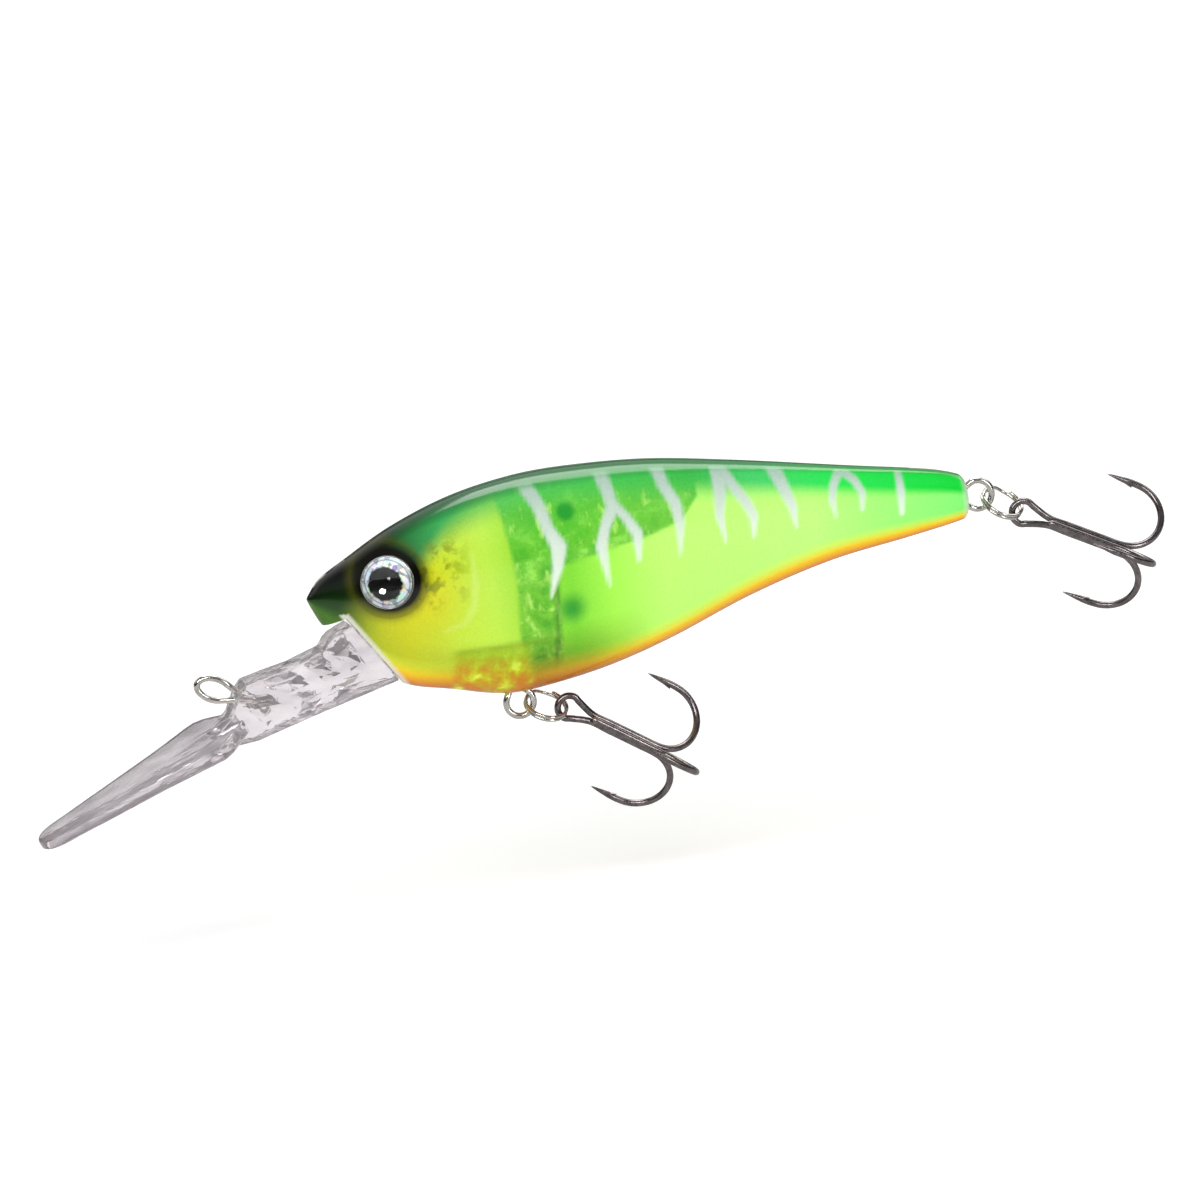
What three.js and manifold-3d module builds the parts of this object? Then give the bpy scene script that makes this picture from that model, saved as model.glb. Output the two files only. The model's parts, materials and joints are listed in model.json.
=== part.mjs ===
// Deep-diving crankbait lure: a two-part hollow fish body, a clear diving lip with a line tie,
// and two treble hooks, each hung on a split ring from a wire eye in the body.
// Millimetres, +Z up. Inside this file the nose tip is the origin, +X runs to the tail and the
// fish's left side faces -Y; the whole lure is centred on its bounding box at the end.
import * as THREE from "three";
import { ParametricGeometry } from "three/addons/geometries/ParametricGeometry.js";
import { mergeVertices } from "three/addons/utils/BufferGeometryUtils.js";
import Module from "manifold-3d";

const wasm = await Module();
wasm.setup();

// ---------- driving dimensions ----------
const BODY_LENGTH = 99;
const BEYOND = 15; // half width of every cut that runs right across the lure
const WALL = 1.3; // body shell
const RIB = 1.0; // ribs inside the body
const SEAM_GAP = 0.1; // between the two body shells
const CLEARANCE = 0.25; // round every wire that passes through plastic
const SECTION_POWER = 2.25; // superellipse exponent of the body's cross-section
const WIDEST_AT = 0.54; // height of the widest point, as a fraction of the section's height

// Side outline of the fish, [x, z], and its half width, [x, y], at stations from nose to tail.
const BACK = [
  [0, 0.3], [2, 2.6], [6, 4.9], [13.4, 8.7], [22.7, 11.9], [32, 13.5], [40, 13.75],
  [52, 13], [64.6, 10.9], [82, 7.4], [94, 5], [98, 3.7], [BODY_LENGTH, 2.9],
];
const BELLY = [
  [0, -0.3], [1.7, -3.9], [6, -9.5], [12.4, -14.2], [19.4, -16.2], [27.5, -18.1], [34, -17.8],
  [43.3, -16.3], [52.7, -13.7], [65.2, -9.3], [77.6, -6.1], [89.8, -4.4], [98, -3.1],
  [BODY_LENGTH, -2.5],
];
const HALF_WIDTH = [
  [0, 0.6], [1.5, 2], [5, 3.9], [12, 6], [20, 7.4], [30, 8.2], [38, 8.2], [52, 7], [66, 5.3],
  [82, 3.7], [94, 2.7], [98, 2.3], [BODY_LENGTH, 1.8],
];
const SKIN_MESH = { stations: 36, sides: 20 };
const INNER_MESH = { stations: 22, sides: 12 };
const ROUND_SIDES = 24; // sides of the round pieces that show
const PIN_SIDES = 16;

// Mouth: the nose's underside and the face that the lip's neck butts against, [x, z].
const NOSE_UNDERSIDE = [1.7, -3.95];
const MOUTH_TOP = [4.9, -2.9];
const MOUTH_BOTTOM = [12.4, -14.1];
const MOUTH_WALL_SHIFT = [0.65, 1.6]; // moves the mouth cut inwards by about one wall
const MOUTH_RIB_SHIFT = [0.3, 0.7]; // and by about half a wall

// Ballast: three balls in an L-shaped chamber, a vertical leg and a sloping channel to the rear.
const BALL_RADIUS = 2.1;
const BALL_PITCH = 4.29;
const LEG_X = 33.45;
const TOP_BALL_Z = -2.46;
const CHAMBER_WALLS = [
  [[28.7, 14], [29.2, 6], [30.6, -10.9], [30.8, -20]], // front wall of the leg
  [[35.5, -20], [36.1, -13.9], [36.9, -4.4]], // rear wall of the leg
  [[30.7, -13.9], [36.1, -13.9]], // seat under the lowest ball
  [[36.9, -4.4], [58.9, 1.4]], // sloping floor of the channel
  [[58.9, 1.4], [60.6, 3.2], [61.2, 6], [61.4, 14]], // rear end of the channel
];
const KEEL_POCKET_WALLS = [
  [[18.8, -20], [19, -10]],
  [[19, -10], [30.4, -10.5]],
];
const KEEL_SLUG = { radius: 1.5, length: 4.2, front: [21.2, -12.4], rear: [24.4, -12.4] };

// Posts on the left shell that enter sockets in the right one.
const LOCATING_POSTS = [[39.4, 6.95], [38.6, -7.0], [70, 3.4]];
const POST = { radius: 1.5, reach: 1.1, socketWall: 0.9, socketDepth: 1.6 };

// Eyes: a foil disc under a clear lens, in a round socket on each flank.
const EYE = {
  x: 11.1, z: 1.8, radius: 3.8, socketDepth: 1.05, fit: 0.15, padWall: 1.2, padDepth: 2.3,
  foilFloor: 0.05, foil: 0.3, lensGap: 0.05, lensRim: 0.35, crown: 0.75, crownSteps: 5,
};

// Lip frame: origin on the mouth face, s runs forward along the lip, n is the blade's upper normal.
const LIP_ORIGIN = [8.1, -7.9];
const LIP_ANGLE = THREE.MathUtils.degToRad(22.3);
const BLADE_PLAN = [
  [21.5, 3.2], [23.4, 6.4], [25.4, 9.4], [27, 10.5], [28.8, 10.1], [32, 9], [36, 7.9], [42, 6.7],
  [50, 5.1],
];
const BLADE_TIP = { s: 51.2, halfWidth: 4.8, reach: 4.6, bluntness: 0.8, steps: 9 };
const BLADE_UNDERSIDE = -1.4;
const BLADE_THICKNESS = { root: 2.2, tip: 1.3, taperFrom: 28, taperTo: 60 };
const NECK_HALF_WIDTH = 3.25;
const NECK_PROFILE = [
  [0.95, 4.3], [4.1, 4.2], [5, 3.9], [6.3, 3.1], [11.5, 3.5], [15, 4.2], [18.6, 4.8], [20.2, 3.9],
  [22.6, 1.8], [26, 0.6], [27.5, -0.6], [26.6, -1.6], [21, -3.3], [12, -4.4], [-1.25, -6.3],
];
const TONGUE = { back: -6.5, front: 1.5, low: -3.6, high: 2.4, halfWidth: 2 };
const TONGUE_PIN = { s: -3.6, n: -0.6, radius: 1.05 };

// Wire fittings.
const HANGER_WIRE = 0.475; // radius
const CROSSING_OFFSET = 0.52; // sideways offset where a figure-eight wire crosses itself
const WIRE_END_GAP = 14; // degrees of the inner eye, each side of its top
const HANGER_BLOCK = 1.4; // plastic round a hanger's inner eye
const WIRE_STEPS = { eye: 42, eyeRoom: 18, ring: 66, doubleHook: 74, singleHook: 30 };
const LINE_TIE = { ru: 1.55, rv: 2.65, inner: 1.3, span: 7.9 };
const LINE_TIE_AT = { s: 22.7, n: 6, rise: 48 }; // rise of its long axis from the lip's line
const BELLY_HANGER = { centre: [29.4, -19.85], tilt: -77, ru: 2.03, rv: 2.03, inner: 1.35, span: 5.1 };
const TAIL_HANGER = { centre: [100.66, 0.18], tilt: 0, ru: 2.1, rv: 2.1, inner: 1.25, span: 7 };

// Split rings: two flat turns of wire with one step between them. Angles are in degrees.
const RING = {
  wire: 0.25, radius: 3.07, pitch: 0.53, twist: 30, seat: 0.85,
  start: 28, end: 692, stride: 16, stepFrom: 335, stepTo: 385, stepPlace: 100,
};
// Treble hooks, measured from the eye's centre along the shank (a) and outwards from it (b).
const HOOK = {
  wire: 0.5, shankOffset: 0.62, eyeRadius: 1.72, eyeSeat: 0.42, shank: [5.4, 9, 12.4],
  bendCentre: 14.65, bendReach: 5.15, bendSteps: 10, pointOffset: 10.7,
  coneBase: 13.4, coneOverlap: 0.3, tip: 10.1, tipRadius: 0.03,
  barb: { at: 14.1, length: 1.5, height: 0.75, root: 0.3, thickness: 0.4 },
};
const TINES = { upper: 60, lower: -60, left: 180 }; // degrees round the shank
const HANGING = {
  belly: { hanger: BELLY_HANGER, ringPitch: 15.7, sway: 3, hookPitch: 36 },
  tail: { hanger: TAIL_HANGER, ringPitch: 27, sway: -11, hookPitch: 22.5 },
};

// Finishes.
const FLANK = { color: 0x8de23c, roughness: 0.3, metalness: 0 };
const CLEAR_LIP = { color: 0xd8d4dc, roughness: 0.05, metalness: 0 };
const STAINLESS = { color: 0xc9c6bd, roughness: 0.2, metalness: 1 };
const GUNMETAL = { color: 0x4b4648, roughness: 0.35, metalness: 0.9 };
const FOIL = { color: 0xd9dde2, roughness: 0.2, metalness: 1 };
const LENS = { color: 0xeef4f6, roughness: 0.05, metalness: 0 };
const LEAD = { color: 0x7a7a78, roughness: 0.6, metalness: 0.8 };
const TUNGSTEN = { color: 0x9a9690, roughness: 0.25, metalness: 1 };

// ---------- general helpers ----------
const rad = THREE.MathUtils.degToRad;
const SIDES = [-1, 1]; // the fish's left and right, along Y

// Smooth curve through points with rising x: cubic pieces with finite-difference slopes.
function curveThrough(points) {
  const slope = (i) => {
    const before = points[Math.max(i - 1, 0)];
    const after = points[Math.min(i + 1, points.length - 1)];
    return (after[1] - before[1]) / (after[0] - before[0]);
  };
  return (x) => {
    let i = 0;
    while (i < points.length - 2 && x > points[i + 1][0]) i += 1;
    const [x0, y0] = points[i];
    const [x1, y1] = points[i + 1];
    const h = x1 - x0;
    const t = THREE.MathUtils.clamp((x - x0) / h, 0, 1);
    const t2 = t * t;
    const t3 = t2 * t;
    return (2 * t3 - 3 * t2 + 1) * y0 + (t3 - 2 * t2 + t) * h * slope(i)
      + (3 * t2 - 2 * t3) * y1 + (t3 - t2) * h * slope(i + 1);
  };
}

function toSolid(geometry) {
  const bare = new THREE.BufferGeometry().setAttribute("position", geometry.getAttribute("position"));
  if (geometry.index) bare.setIndex(geometry.index);
  const merged = mergeVertices(bare, 1e-4);
  const triVerts = new Uint32Array(merged.index.array);
  const vertProperties = new Float32Array(merged.attributes.position.array);
  const make = () => new wasm.Manifold(new wasm.Mesh({ numProp: 3, vertProperties, triVerts }));
  const made = make();
  if (made.volume() > 0) return made;
  for (let i = 0; i < triVerts.length; i += 3) {
    [triVerts[i + 1], triVerts[i + 2]] = [triVerts[i + 2], triVerts[i + 1]];
  }
  return make();
}

function toGeometry(solid) {
  const mesh = solid.getMesh();
  const positions = new Float32Array(mesh.numVert * 3);
  for (let i = 0; i < mesh.numVert; i += 1) {
    positions.set(mesh.vertProperties.subarray(i * mesh.numProp, i * mesh.numProp + 3), i * 3);
  }
  const geometry = new THREE.BufferGeometry();
  geometry.setAttribute("position", new THREE.BufferAttribute(positions, 3));
  geometry.setIndex(new THREE.BufferAttribute(new Uint32Array(mesh.triVerts), 1));
  geometry.computeVertexNormals();
  return geometry;
}

const join = (solids) => solids.reduce((whole, next) => whole.add(next));

function named(name, solid, finish) {
  const mesh = new THREE.Mesh(toGeometry(solid), new THREE.MeshStandardMaterial(finish));
  mesh.name = name;
  return mesh;
}

// Extrudes a closed outline of [x, z] points along Y, centred on the seam plane.
function acrossBody(points, width) {
  const shape = new THREE.Shape(points.map(([x, z]) => new THREE.Vector2(x, z)));
  const geometry = new THREE.ExtrudeGeometry(shape, { depth: width, bevelEnabled: false });
  geometry.translate(0, 0, -width / 2).rotateX(Math.PI / 2);
  return toSolid(geometry);
}

// A rib of constant thickness whose middle line runs through [x, z] points.
function ribAlong(points) {
  const offset = (side) => points.map(([x, z], i) => {
    const [x0, z0] = points[Math.max(i - 1, 0)];
    const [x1, z1] = points[Math.min(i + 1, points.length - 1)];
    const length = Math.hypot(x1 - x0, z1 - z0);
    return [x - (side * RIB * (z1 - z0)) / (2 * length), z + (side * RIB * (x1 - x0)) / (2 * length)];
  });
  return acrossBody([...offset(1), ...offset(-1).reverse()], 2 * BEYOND);
}

// A cylinder along Y from y0 to y1, centred on [x, z].
function pinAcross([x, z], radius, y0, y1, sides = PIN_SIDES) {
  const geometry = new THREE.CylinderGeometry(radius, radius, y1 - y0, sides);
  geometry.translate(x, (y0 + y1) / 2, z);
  return toSolid(geometry);
}

const smoothCurve = (points) => new THREE.CatmullRomCurve3(points, false, "centripetal");

// A wire of round section along a curve; an arc's own points count twice its curve segments.
function wireAlong(curve, radius, steps, sides = 6) {
  const section = new THREE.Shape().absarc(0, 0, radius, 0, 2 * Math.PI);
  const geometry = new THREE.ExtrudeGeometry(section, {
    steps, curveSegments: sides / 2, bevelEnabled: false, extrudePath: curve,
  });
  return toSolid(geometry);
}

// ---------- body ----------
const backAt = curveThrough(BACK);
const bellyAt = curveThrough(BELLY);
const halfWidthAt = curveThrough(HALF_WIDTH);

const roundedPower = (value) => Math.sign(value) * Math.abs(value) ** (2 / SECTION_POWER);

// One point of the body's cross-section at station x; inset moves it inwards from the skin.
function sectionPoint(x, angle, inset) {
  const low = bellyAt(x) + inset;
  const high = Math.max(backAt(x) - inset, low + 0.4);
  const widest = low + WIDEST_AT * (high - low);
  const up = roundedPower(Math.cos(angle));
  const z = widest + up * (up > 0 ? high - widest : widest - low);
  const y = roundedPower(Math.sin(angle)) * Math.max(halfWidthAt(x) - inset, 0.2);
  return [y, z];
}

// The closed fish form, inset from the skin. Stations crowd towards the nose and the tail.
function fishForm(inset, { stations, sides }) {
  const surface = (u, v, target) => {
    const station = THREE.MathUtils.clamp((u * stations - 1) / (stations - 2), 0, 1);
    const x = BODY_LENGTH * (0.35 * station + 0.325 * (1 - Math.cos(Math.PI * station)));
    const xInset = inset + (x * (BODY_LENGTH - 2 * inset)) / BODY_LENGTH;
    const isPole = u === 0 || u === 1;
    const [y, z] = isPole ? [0, (backAt(x) + bellyAt(x)) / 2] : sectionPoint(x, 2 * Math.PI * v, inset);
    target.set(xInset, y, z);
  };
  return toSolid(new ParametricGeometry(surface, stations, sides));
}

// The wedge cut out of the nose for the mouth, carried on well outside the fish, and moved by a shift.
function mouthCut([dx, dz]) {
  const beyond = (from, through, times) => [
    through[0] + times * (through[0] - from[0]),
    through[1] + times * (through[1] - from[1]),
  ];
  const ahead = beyond(MOUTH_TOP, NOSE_UNDERSIDE, 6);
  const below = beyond(MOUTH_TOP, MOUTH_BOTTOM, 0.5);
  const outline = [ahead, MOUTH_TOP, MOUTH_BOTTOM, below, [ahead[0], below[1]]];
  return acrossBody(outline.map(([x, z]) => [x + dx, z + dz]), 2 * BEYOND);
}

// Where the flank lies at [x, z] on one side, and which way it faces.
function flankFrame(x, z, side) {
  const yAt = (px, pz) => {
    const low = bellyAt(px);
    const high = backAt(px);
    const widest = low + WIDEST_AT * (high - low);
    const part = Math.abs(pz - widest) / (pz > widest ? high - widest : widest - low);
    return halfWidthAt(px) * (1 - part ** SECTION_POWER) ** (1 / SECTION_POWER);
  };
  const d = 0.5;
  const slopeX = (yAt(x + d, z) - yAt(x - d, z)) / (2 * d);
  const slopeZ = (yAt(x, z + d) - yAt(x, z - d)) / (2 * d);
  const normal = new THREE.Vector3(-slopeX, side, -slopeZ);
  return { position: new THREE.Vector3(x, side * yAt(x, z), z), normal: normal.normalize() };
}

function eyeGroup(side) {
  const { position, normal } = flankFrame(EYE.x, EYE.z, side);
  const group = new THREE.Group();
  group.position.copy(position);
  group.quaternion.setFromUnitVectors(new THREE.Vector3(0, 1, 0), normal);
  group.updateMatrixWorld(true);
  return group;
}

// A disc on the eye's axis between two heights over the flank.
function eyeDisc(side, radius, from, to) {
  const geometry = new THREE.CylinderGeometry(radius, radius, to - from, ROUND_SIDES);
  geometry.translate(0, (from + to) / 2, 0);
  return toSolid(geometry.applyMatrix4(eyeGroup(side).matrixWorld));
}

// ---------- wire fittings ----------
// A figure-eight wire: an outer eye round the origin and an inner one further up the local v axis,
// where the wire's two ends stop short of each other by twice the end gap, in degrees.
function figureEight({ ru, rv, inner, span }, endGap) {
  const arc = (cu, cv, radiusU, radiusV, from, to) => {
    const count = Math.ceil(Math.abs(to - from) / 30);
    return Array.from({ length: count + 1 }, (_, i) => {
      const angle = rad(from + ((to - from) * i) / count);
      return new THREE.Vector3(cu + radiusU * Math.cos(angle), cv + radiusV * Math.sin(angle), 0);
    });
  };
  const crossing = (span - inner + rv) / 2;
  const outward = [
    ...arc(0, span, inner, inner, 90 - endGap, -40),
    new THREE.Vector3(0, crossing, CROSSING_OFFSET),
    ...arc(0, 0, ru, rv, 140, 270),
  ];
  const homeward = [
    ...arc(0, 0, ru, rv, 270, 400),
    new THREE.Vector3(0, crossing, -CROSSING_OFFSET),
    ...arc(0, span, inner, inner, 220, 90 + endGap),
  ];
  return { outward, homeward };
}

// The two strands of a figure-eight wire stood upright in the seam plane, its outer eye at the
// centre and its v axis pointing back along the tilt, which is measured from +X towards +Z.
function eyeStrands({ centre: [x, z], tilt, ...sizes }, endGap) {
  const back = rad(tilt) + Math.PI;
  const along = new THREE.Vector3(Math.cos(back), 0, Math.sin(back));
  const across = new THREE.Vector3(Math.sin(back), 0, -Math.cos(back));
  const place = (p) => new THREE.Vector3(x, p.z, z)
    .addScaledVector(across, p.x)
    .addScaledVector(along, p.y);
  const { outward, homeward } = figureEight(sizes, endGap);
  return [outward.map(place), homeward.map(place)];
}

function eyeWire(settings) {
  const [outward, homeward] = eyeStrands(settings, WIRE_END_GAP);
  return wireAlong(smoothCurve([...outward, ...homeward.slice(1)]), HANGER_WIRE, WIRE_STEPS.eye);
}

// The room for that wire in plastic: each strand is cut on its own, because the wider strands meet.
function eyeWireRoom(settings) {
  const strands = eyeStrands(settings, -WIRE_END_GAP);
  const radius = HANGER_WIRE + CLEARANCE;
  return join(strands.map((points) => wireAlong(smoothCurve(points), radius, WIRE_STEPS.eyeRoom)));
}

function innerEyeOf({ centre, tilt, span }) {
  return [centre[0] - span * Math.cos(rad(tilt)), centre[1] - span * Math.sin(rad(tilt))];
}

// ---------- lip ----------
const lipAxis = new THREE.Vector3(-Math.cos(LIP_ANGLE), 0, -Math.sin(LIP_ANGLE));
const lipNormal = new THREE.Vector3(-Math.sin(LIP_ANGLE), 0, Math.cos(LIP_ANGLE));

function lipPoint(s, n, y = 0) {
  return new THREE.Vector3(LIP_ORIGIN[0], y, LIP_ORIGIN[1])
    .addScaledVector(lipAxis, s)
    .addScaledVector(lipNormal, n);
}

// Extrudes a profile of [s, n] points across the lip.
function acrossLip(profile, halfWidth) {
  return acrossBody(profile.map(([s, n]) => {
    const p = lipPoint(s, n);
    return [p.x, p.z];
  }), 2 * halfWidth);
}

// The blade's outline as [s, y] points: its two edges and the rounded tip between them.
function bladePlan() {
  const { s, halfWidth, reach, bluntness, steps } = BLADE_TIP;
  const tip = Array.from({ length: steps }, (_, i) => {
    const angle = (Math.PI * (i + 0.5)) / steps;
    return [s + reach * Math.sin(angle) ** bluntness, halfWidth * Math.cos(angle)];
  });
  return [...BLADE_PLAN, ...tip, ...BLADE_PLAN.map(([along, y]) => [along, -y]).reverse()];
}

// The blade: its outline extruded upwards from a flat underside, with the top planed to a taper.
function blade() {
  const { root, tip, taperFrom, taperTo } = BLADE_THICKNESS;
  const shape = new THREE.Shape(bladePlan().map(([s, y]) => new THREE.Vector2(s, y)));
  const geometry = new THREE.ExtrudeGeometry(shape, { depth: 2 * root, bevelEnabled: false });
  const place = new THREE.Matrix4().makeBasis(lipAxis, new THREE.Vector3(0, 1, 0), lipNormal);
  place.setPosition(lipPoint(0, BLADE_UNDERSIDE));
  const bottom = BLADE_UNDERSIDE - root;
  const planed = acrossLip([
    [0, bottom], [0, BLADE_UNDERSIDE + root], [taperFrom, BLADE_UNDERSIDE + root],
    [taperTo, BLADE_UNDERSIDE + tip], [taperTo, bottom],
  ], BEYOND);
  return toSolid(geometry.applyMatrix4(place)).intersect(planed);
}

function tonguePin() {
  const { x, z } = lipPoint(TONGUE_PIN.s, TONGUE_PIN.n);
  return [x, z];
}

// The lip's tongue, which the two shells clamp between them; grow adds room round it.
function tongue(grow) {
  const { back, front, low, high, halfWidth } = TONGUE;
  return acrossLip(
    [[back - grow, low - grow], [front, low - grow], [front, high + grow], [back - grow, high + grow]],
    halfWidth + grow,
  );
}

function lineTieSettings() {
  const centre = lipPoint(LINE_TIE_AT.s, LINE_TIE_AT.n);
  const tilt = 180 + THREE.MathUtils.radToDeg(LIP_ANGLE) - LINE_TIE_AT.rise;
  return { centre: [centre.x, centre.z], tilt, ...LINE_TIE };
}

function divingLip() {
  const neck = acrossLip(NECK_PROFILE, NECK_HALF_WIDTH);
  const pinHole = pinAcross(tonguePin(), TONGUE_PIN.radius + CLEARANCE, -BEYOND, BEYOND);
  return join([neck, blade(), tongue(0)]).subtract(eyeWireRoom(lineTieSettings())).subtract(pinHole);
}

// ---------- body shells ----------
// Ribs and posts end inside the shell's wall.
const ribLimit = () => fishForm(WALL / 2, INNER_MESH).subtract(mouthCut(MOUTH_RIB_SHIFT));

// Walls and posts of both shells in one piece, before the seam parts them.
function bodyStructure(limit) {
  const form = fishForm(0, SKIN_MESH).subtract(mouthCut([0, 0]));
  const cavity = fishForm(WALL, INNER_MESH).subtract(mouthCut(MOUTH_WALL_SHIFT));
  const ribs = [...CHAMBER_WALLS, ...KEEL_POCKET_WALLS].map(ribAlong);
  const eyePads = SIDES.map((side) => eyeDisc(side, EYE.radius + EYE.padWall, -EYE.padDepth, 0));
  const hangerBlocks = [BELLY_HANGER, TAIL_HANGER].map((settings) => (
    pinAcross(innerEyeOf(settings), settings.inner + HANGER_BLOCK, -BEYOND, BEYOND)
  ));
  const inside = join([...ribs, ...eyePads, ...hangerBlocks]).intersect(limit);
  const cuts = [
    tongue(CLEARANCE),
    eyeWireRoom(BELLY_HANGER),
    eyeWireRoom(TAIL_HANGER),
    ...SIDES.map((side) => eyeDisc(side, EYE.radius + EYE.fit, -EYE.socketDepth, BEYOND)),
  ];
  return form.subtract(cavity).add(inside).subtract(join(cuts));
}

// Everything on one side of the seam, short of it by half the seam's gap.
function halfSpace(side) {
  const box = new THREE.BoxGeometry(2 * BODY_LENGTH, BEYOND, BODY_LENGTH);
  return toSolid(box.translate(BODY_LENGTH / 2, side * (BEYOND / 2 + SEAM_GAP / 2), 0));
}

function bodyShells() {
  const limit = ribLimit();
  const structure = bodyStructure(limit);
  const pins = [...LOCATING_POSTS.map((at) => [at, POST.radius]), [tonguePin(), TONGUE_PIN.radius]];
  let left = structure.intersect(halfSpace(-1));
  let right = structure.intersect(halfSpace(1));
  for (const [at, radius] of pins) {
    const post = pinAcross(at, radius, -BEYOND, 0).intersect(limit);
    left = left.add(post).add(pinAcross(at, radius, -1, POST.reach));
    const boss = pinAcross(at, radius + POST.socketWall, SEAM_GAP / 2, BEYOND).intersect(limit);
    const socket = pinAcross(at, radius + CLEARANCE, -1, POST.socketDepth);
    right = right.add(boss.subtract(tongue(CLEARANCE))).subtract(socket);
  }
  return { left, right };
}

// ---------- eyes, ballast ----------
function eyeFoil(side) {
  const floor = EYE.foilFloor - EYE.socketDepth;
  return eyeDisc(side, EYE.radius, floor, floor + EYE.foil);
}

// A plano-convex lens: a straight rim and, above it, a quarter ellipse turned round the axis.
function eyeLens(side) {
  const base = EYE.foilFloor + EYE.foil + EYE.lensGap - EYE.socketDepth;
  const rimTop = base + EYE.lensRim;
  const profile = [new THREE.Vector2(0, base), new THREE.Vector2(EYE.radius, base)];
  for (let i = 0; i < EYE.crownSteps; i += 1) {
    const angle = (Math.PI / 2) * (i / EYE.crownSteps);
    const height = rimTop + (EYE.crown - rimTop) * Math.sin(angle);
    profile.push(new THREE.Vector2(EYE.radius * Math.cos(angle), height));
  }
  profile.push(new THREE.Vector2(0, EYE.crown));
  const geometry = new THREE.LatheGeometry(profile, ROUND_SIDES);
  return toSolid(geometry.applyMatrix4(eyeGroup(side).matrixWorld));
}

function transferBall(index) {
  const geometry = new THREE.SphereGeometry(BALL_RADIUS, 14, 10);
  return toSolid(geometry.translate(LEG_X, 0, TOP_BALL_Z - index * BALL_PITCH));
}

function keelSlug(centre) {
  return pinAcross(centre, KEEL_SLUG.radius, -KEEL_SLUG.length / 2, KEEL_SLUG.length / 2, ROUND_SIDES);
}

// ---------- split rings and hooks, built round their own origins ----------
// Two turns: one flat below, a short step, one flat above. The ring's axis is local Z.
function splitRing() {
  const { wire, radius, pitch, start, end, stride, stepFrom, stepTo, stepPlace } = RING;
  const points = [];
  for (let angle = start; angle <= end; angle += stride) {
    const z = pitch * (THREE.MathUtils.smoothstep(angle, stepFrom, stepTo) - 0.5);
    const round = rad(angle + stepPlace);
    points.push(new THREE.Vector3(radius * Math.cos(round), radius * Math.sin(round), z));
  }
  return wireAlong(smoothCurve(points), wire, WIRE_STEPS.ring);
}

// A point of a hook lying at an angle round the shank: a along the shank, b away from it.
const hookPoint = (a, b, turn) => new THREE.Vector3(a, b * Math.cos(rad(turn)), b * Math.sin(rad(turn)));

// Middle line from the shank round the bend to the start of the point.
function tinePath(turn) {
  const { bendCentre, bendReach, bendSteps, shankOffset, pointOffset, coneBase } = HOOK;
  const middle = (shankOffset + pointOffset) / 2;
  const half = (pointOffset - shankOffset) / 2;
  const bend = Array.from({ length: bendSteps + 1 }, (_, i) => {
    const angle = Math.PI * (i / bendSteps - 0.5);
    return hookPoint(bendCentre + bendReach * Math.cos(angle), middle + half * Math.sin(angle), turn);
  });
  const shank = HOOK.shank.map((a) => hookPoint(a, shankOffset, turn));
  return [...shank, ...bend, hookPoint(coneBase, pointOffset, turn)];
}

// The tapered point with its barb, on the shank's side of the wire.
function hookTip(turn) {
  const { wire, coneBase, coneOverlap, tip, tipRadius, pointOffset, barb } = HOOK;
  const base = coneBase + coneOverlap;
  const cone = new THREE.CylinderGeometry(tipRadius, wire, base - tip, 8);
  cone.rotateZ(Math.PI / 2).translate((base + tip) / 2, pointOffset, 0);
  const fin = new THREE.Shape([
    new THREE.Vector2(barb.at - barb.length, pointOffset),
    new THREE.Vector2(barb.at, pointOffset - barb.height),
    new THREE.Vector2(barb.at - barb.root, pointOffset),
  ]);
  const barbFin = new THREE.ExtrudeGeometry(fin, { depth: barb.thickness, bevelEnabled: false });
  barbFin.translate(0, 0, -barb.thickness / 2);
  const turned = new THREE.Matrix4().makeRotationX(rad(turn));
  return toSolid(cone.applyMatrix4(turned)).add(toSolid(barbFin.applyMatrix4(turned)));
}

// One wire bent into two tines, with the hook's eye as the loop between them.
function doubleHook() {
  const eye = [52, 90, 135, 180, 225, 270, 308].map((angle) => new THREE.Vector3(
    HOOK.eyeRadius * Math.cos(rad(angle)),
    0,
    HOOK.eyeRadius * Math.sin(rad(angle)),
  ));
  const path = [...tinePath(TINES.upper).reverse(), ...eye, ...tinePath(TINES.lower)];
  const wire = wireAlong(smoothCurve(path), HOOK.wire, WIRE_STEPS.doubleHook, 8);
  return join([wire, hookTip(TINES.upper), hookTip(TINES.lower)]);
}

function singleHook() {
  const wire = wireAlong(smoothCurve(tinePath(TINES.left)), HOOK.wire, WIRE_STEPS.singleHook, 8);
  return wire.add(hookTip(TINES.left));
}

// Hangs a split ring and a treble from a hanger's eye. The group's origin is the eye's centre and
// its local X runs from there through the ring; the ring's own axis is twisted about that line.
function hangHook(name, { hanger: { centre }, ringPitch, sway, hookPitch }) {
  const swing = new THREE.Group();
  swing.position.set(centre[0], 0, centre[1]);
  swing.rotation.y = rad(ringPitch);
  const twisted = new THREE.Group();
  twisted.position.x = RING.seat + RING.radius;
  twisted.rotation.x = rad(RING.twist);
  const swayed = new THREE.Group();
  swayed.rotation.z = rad(sway);
  const untwisted = new THREE.Group();
  untwisted.position.x = RING.radius + HOOK.eyeSeat;
  untwisted.rotation.x = -rad(RING.twist);
  const hook = new THREE.Group();
  hook.rotation.y = rad(hookPitch - ringPitch);
  hook.add(
    named(`${name}_hook_double`, doubleHook(), GUNMETAL),
    named(`${name}_hook_single`, singleHook(), GUNMETAL),
  );
  untwisted.add(hook);
  swayed.add(untwisted);
  twisted.add(named(`${name}_split_ring`, splitRing(), STAINLESS), swayed);
  swing.add(twisted);
  return swing;
}

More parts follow.
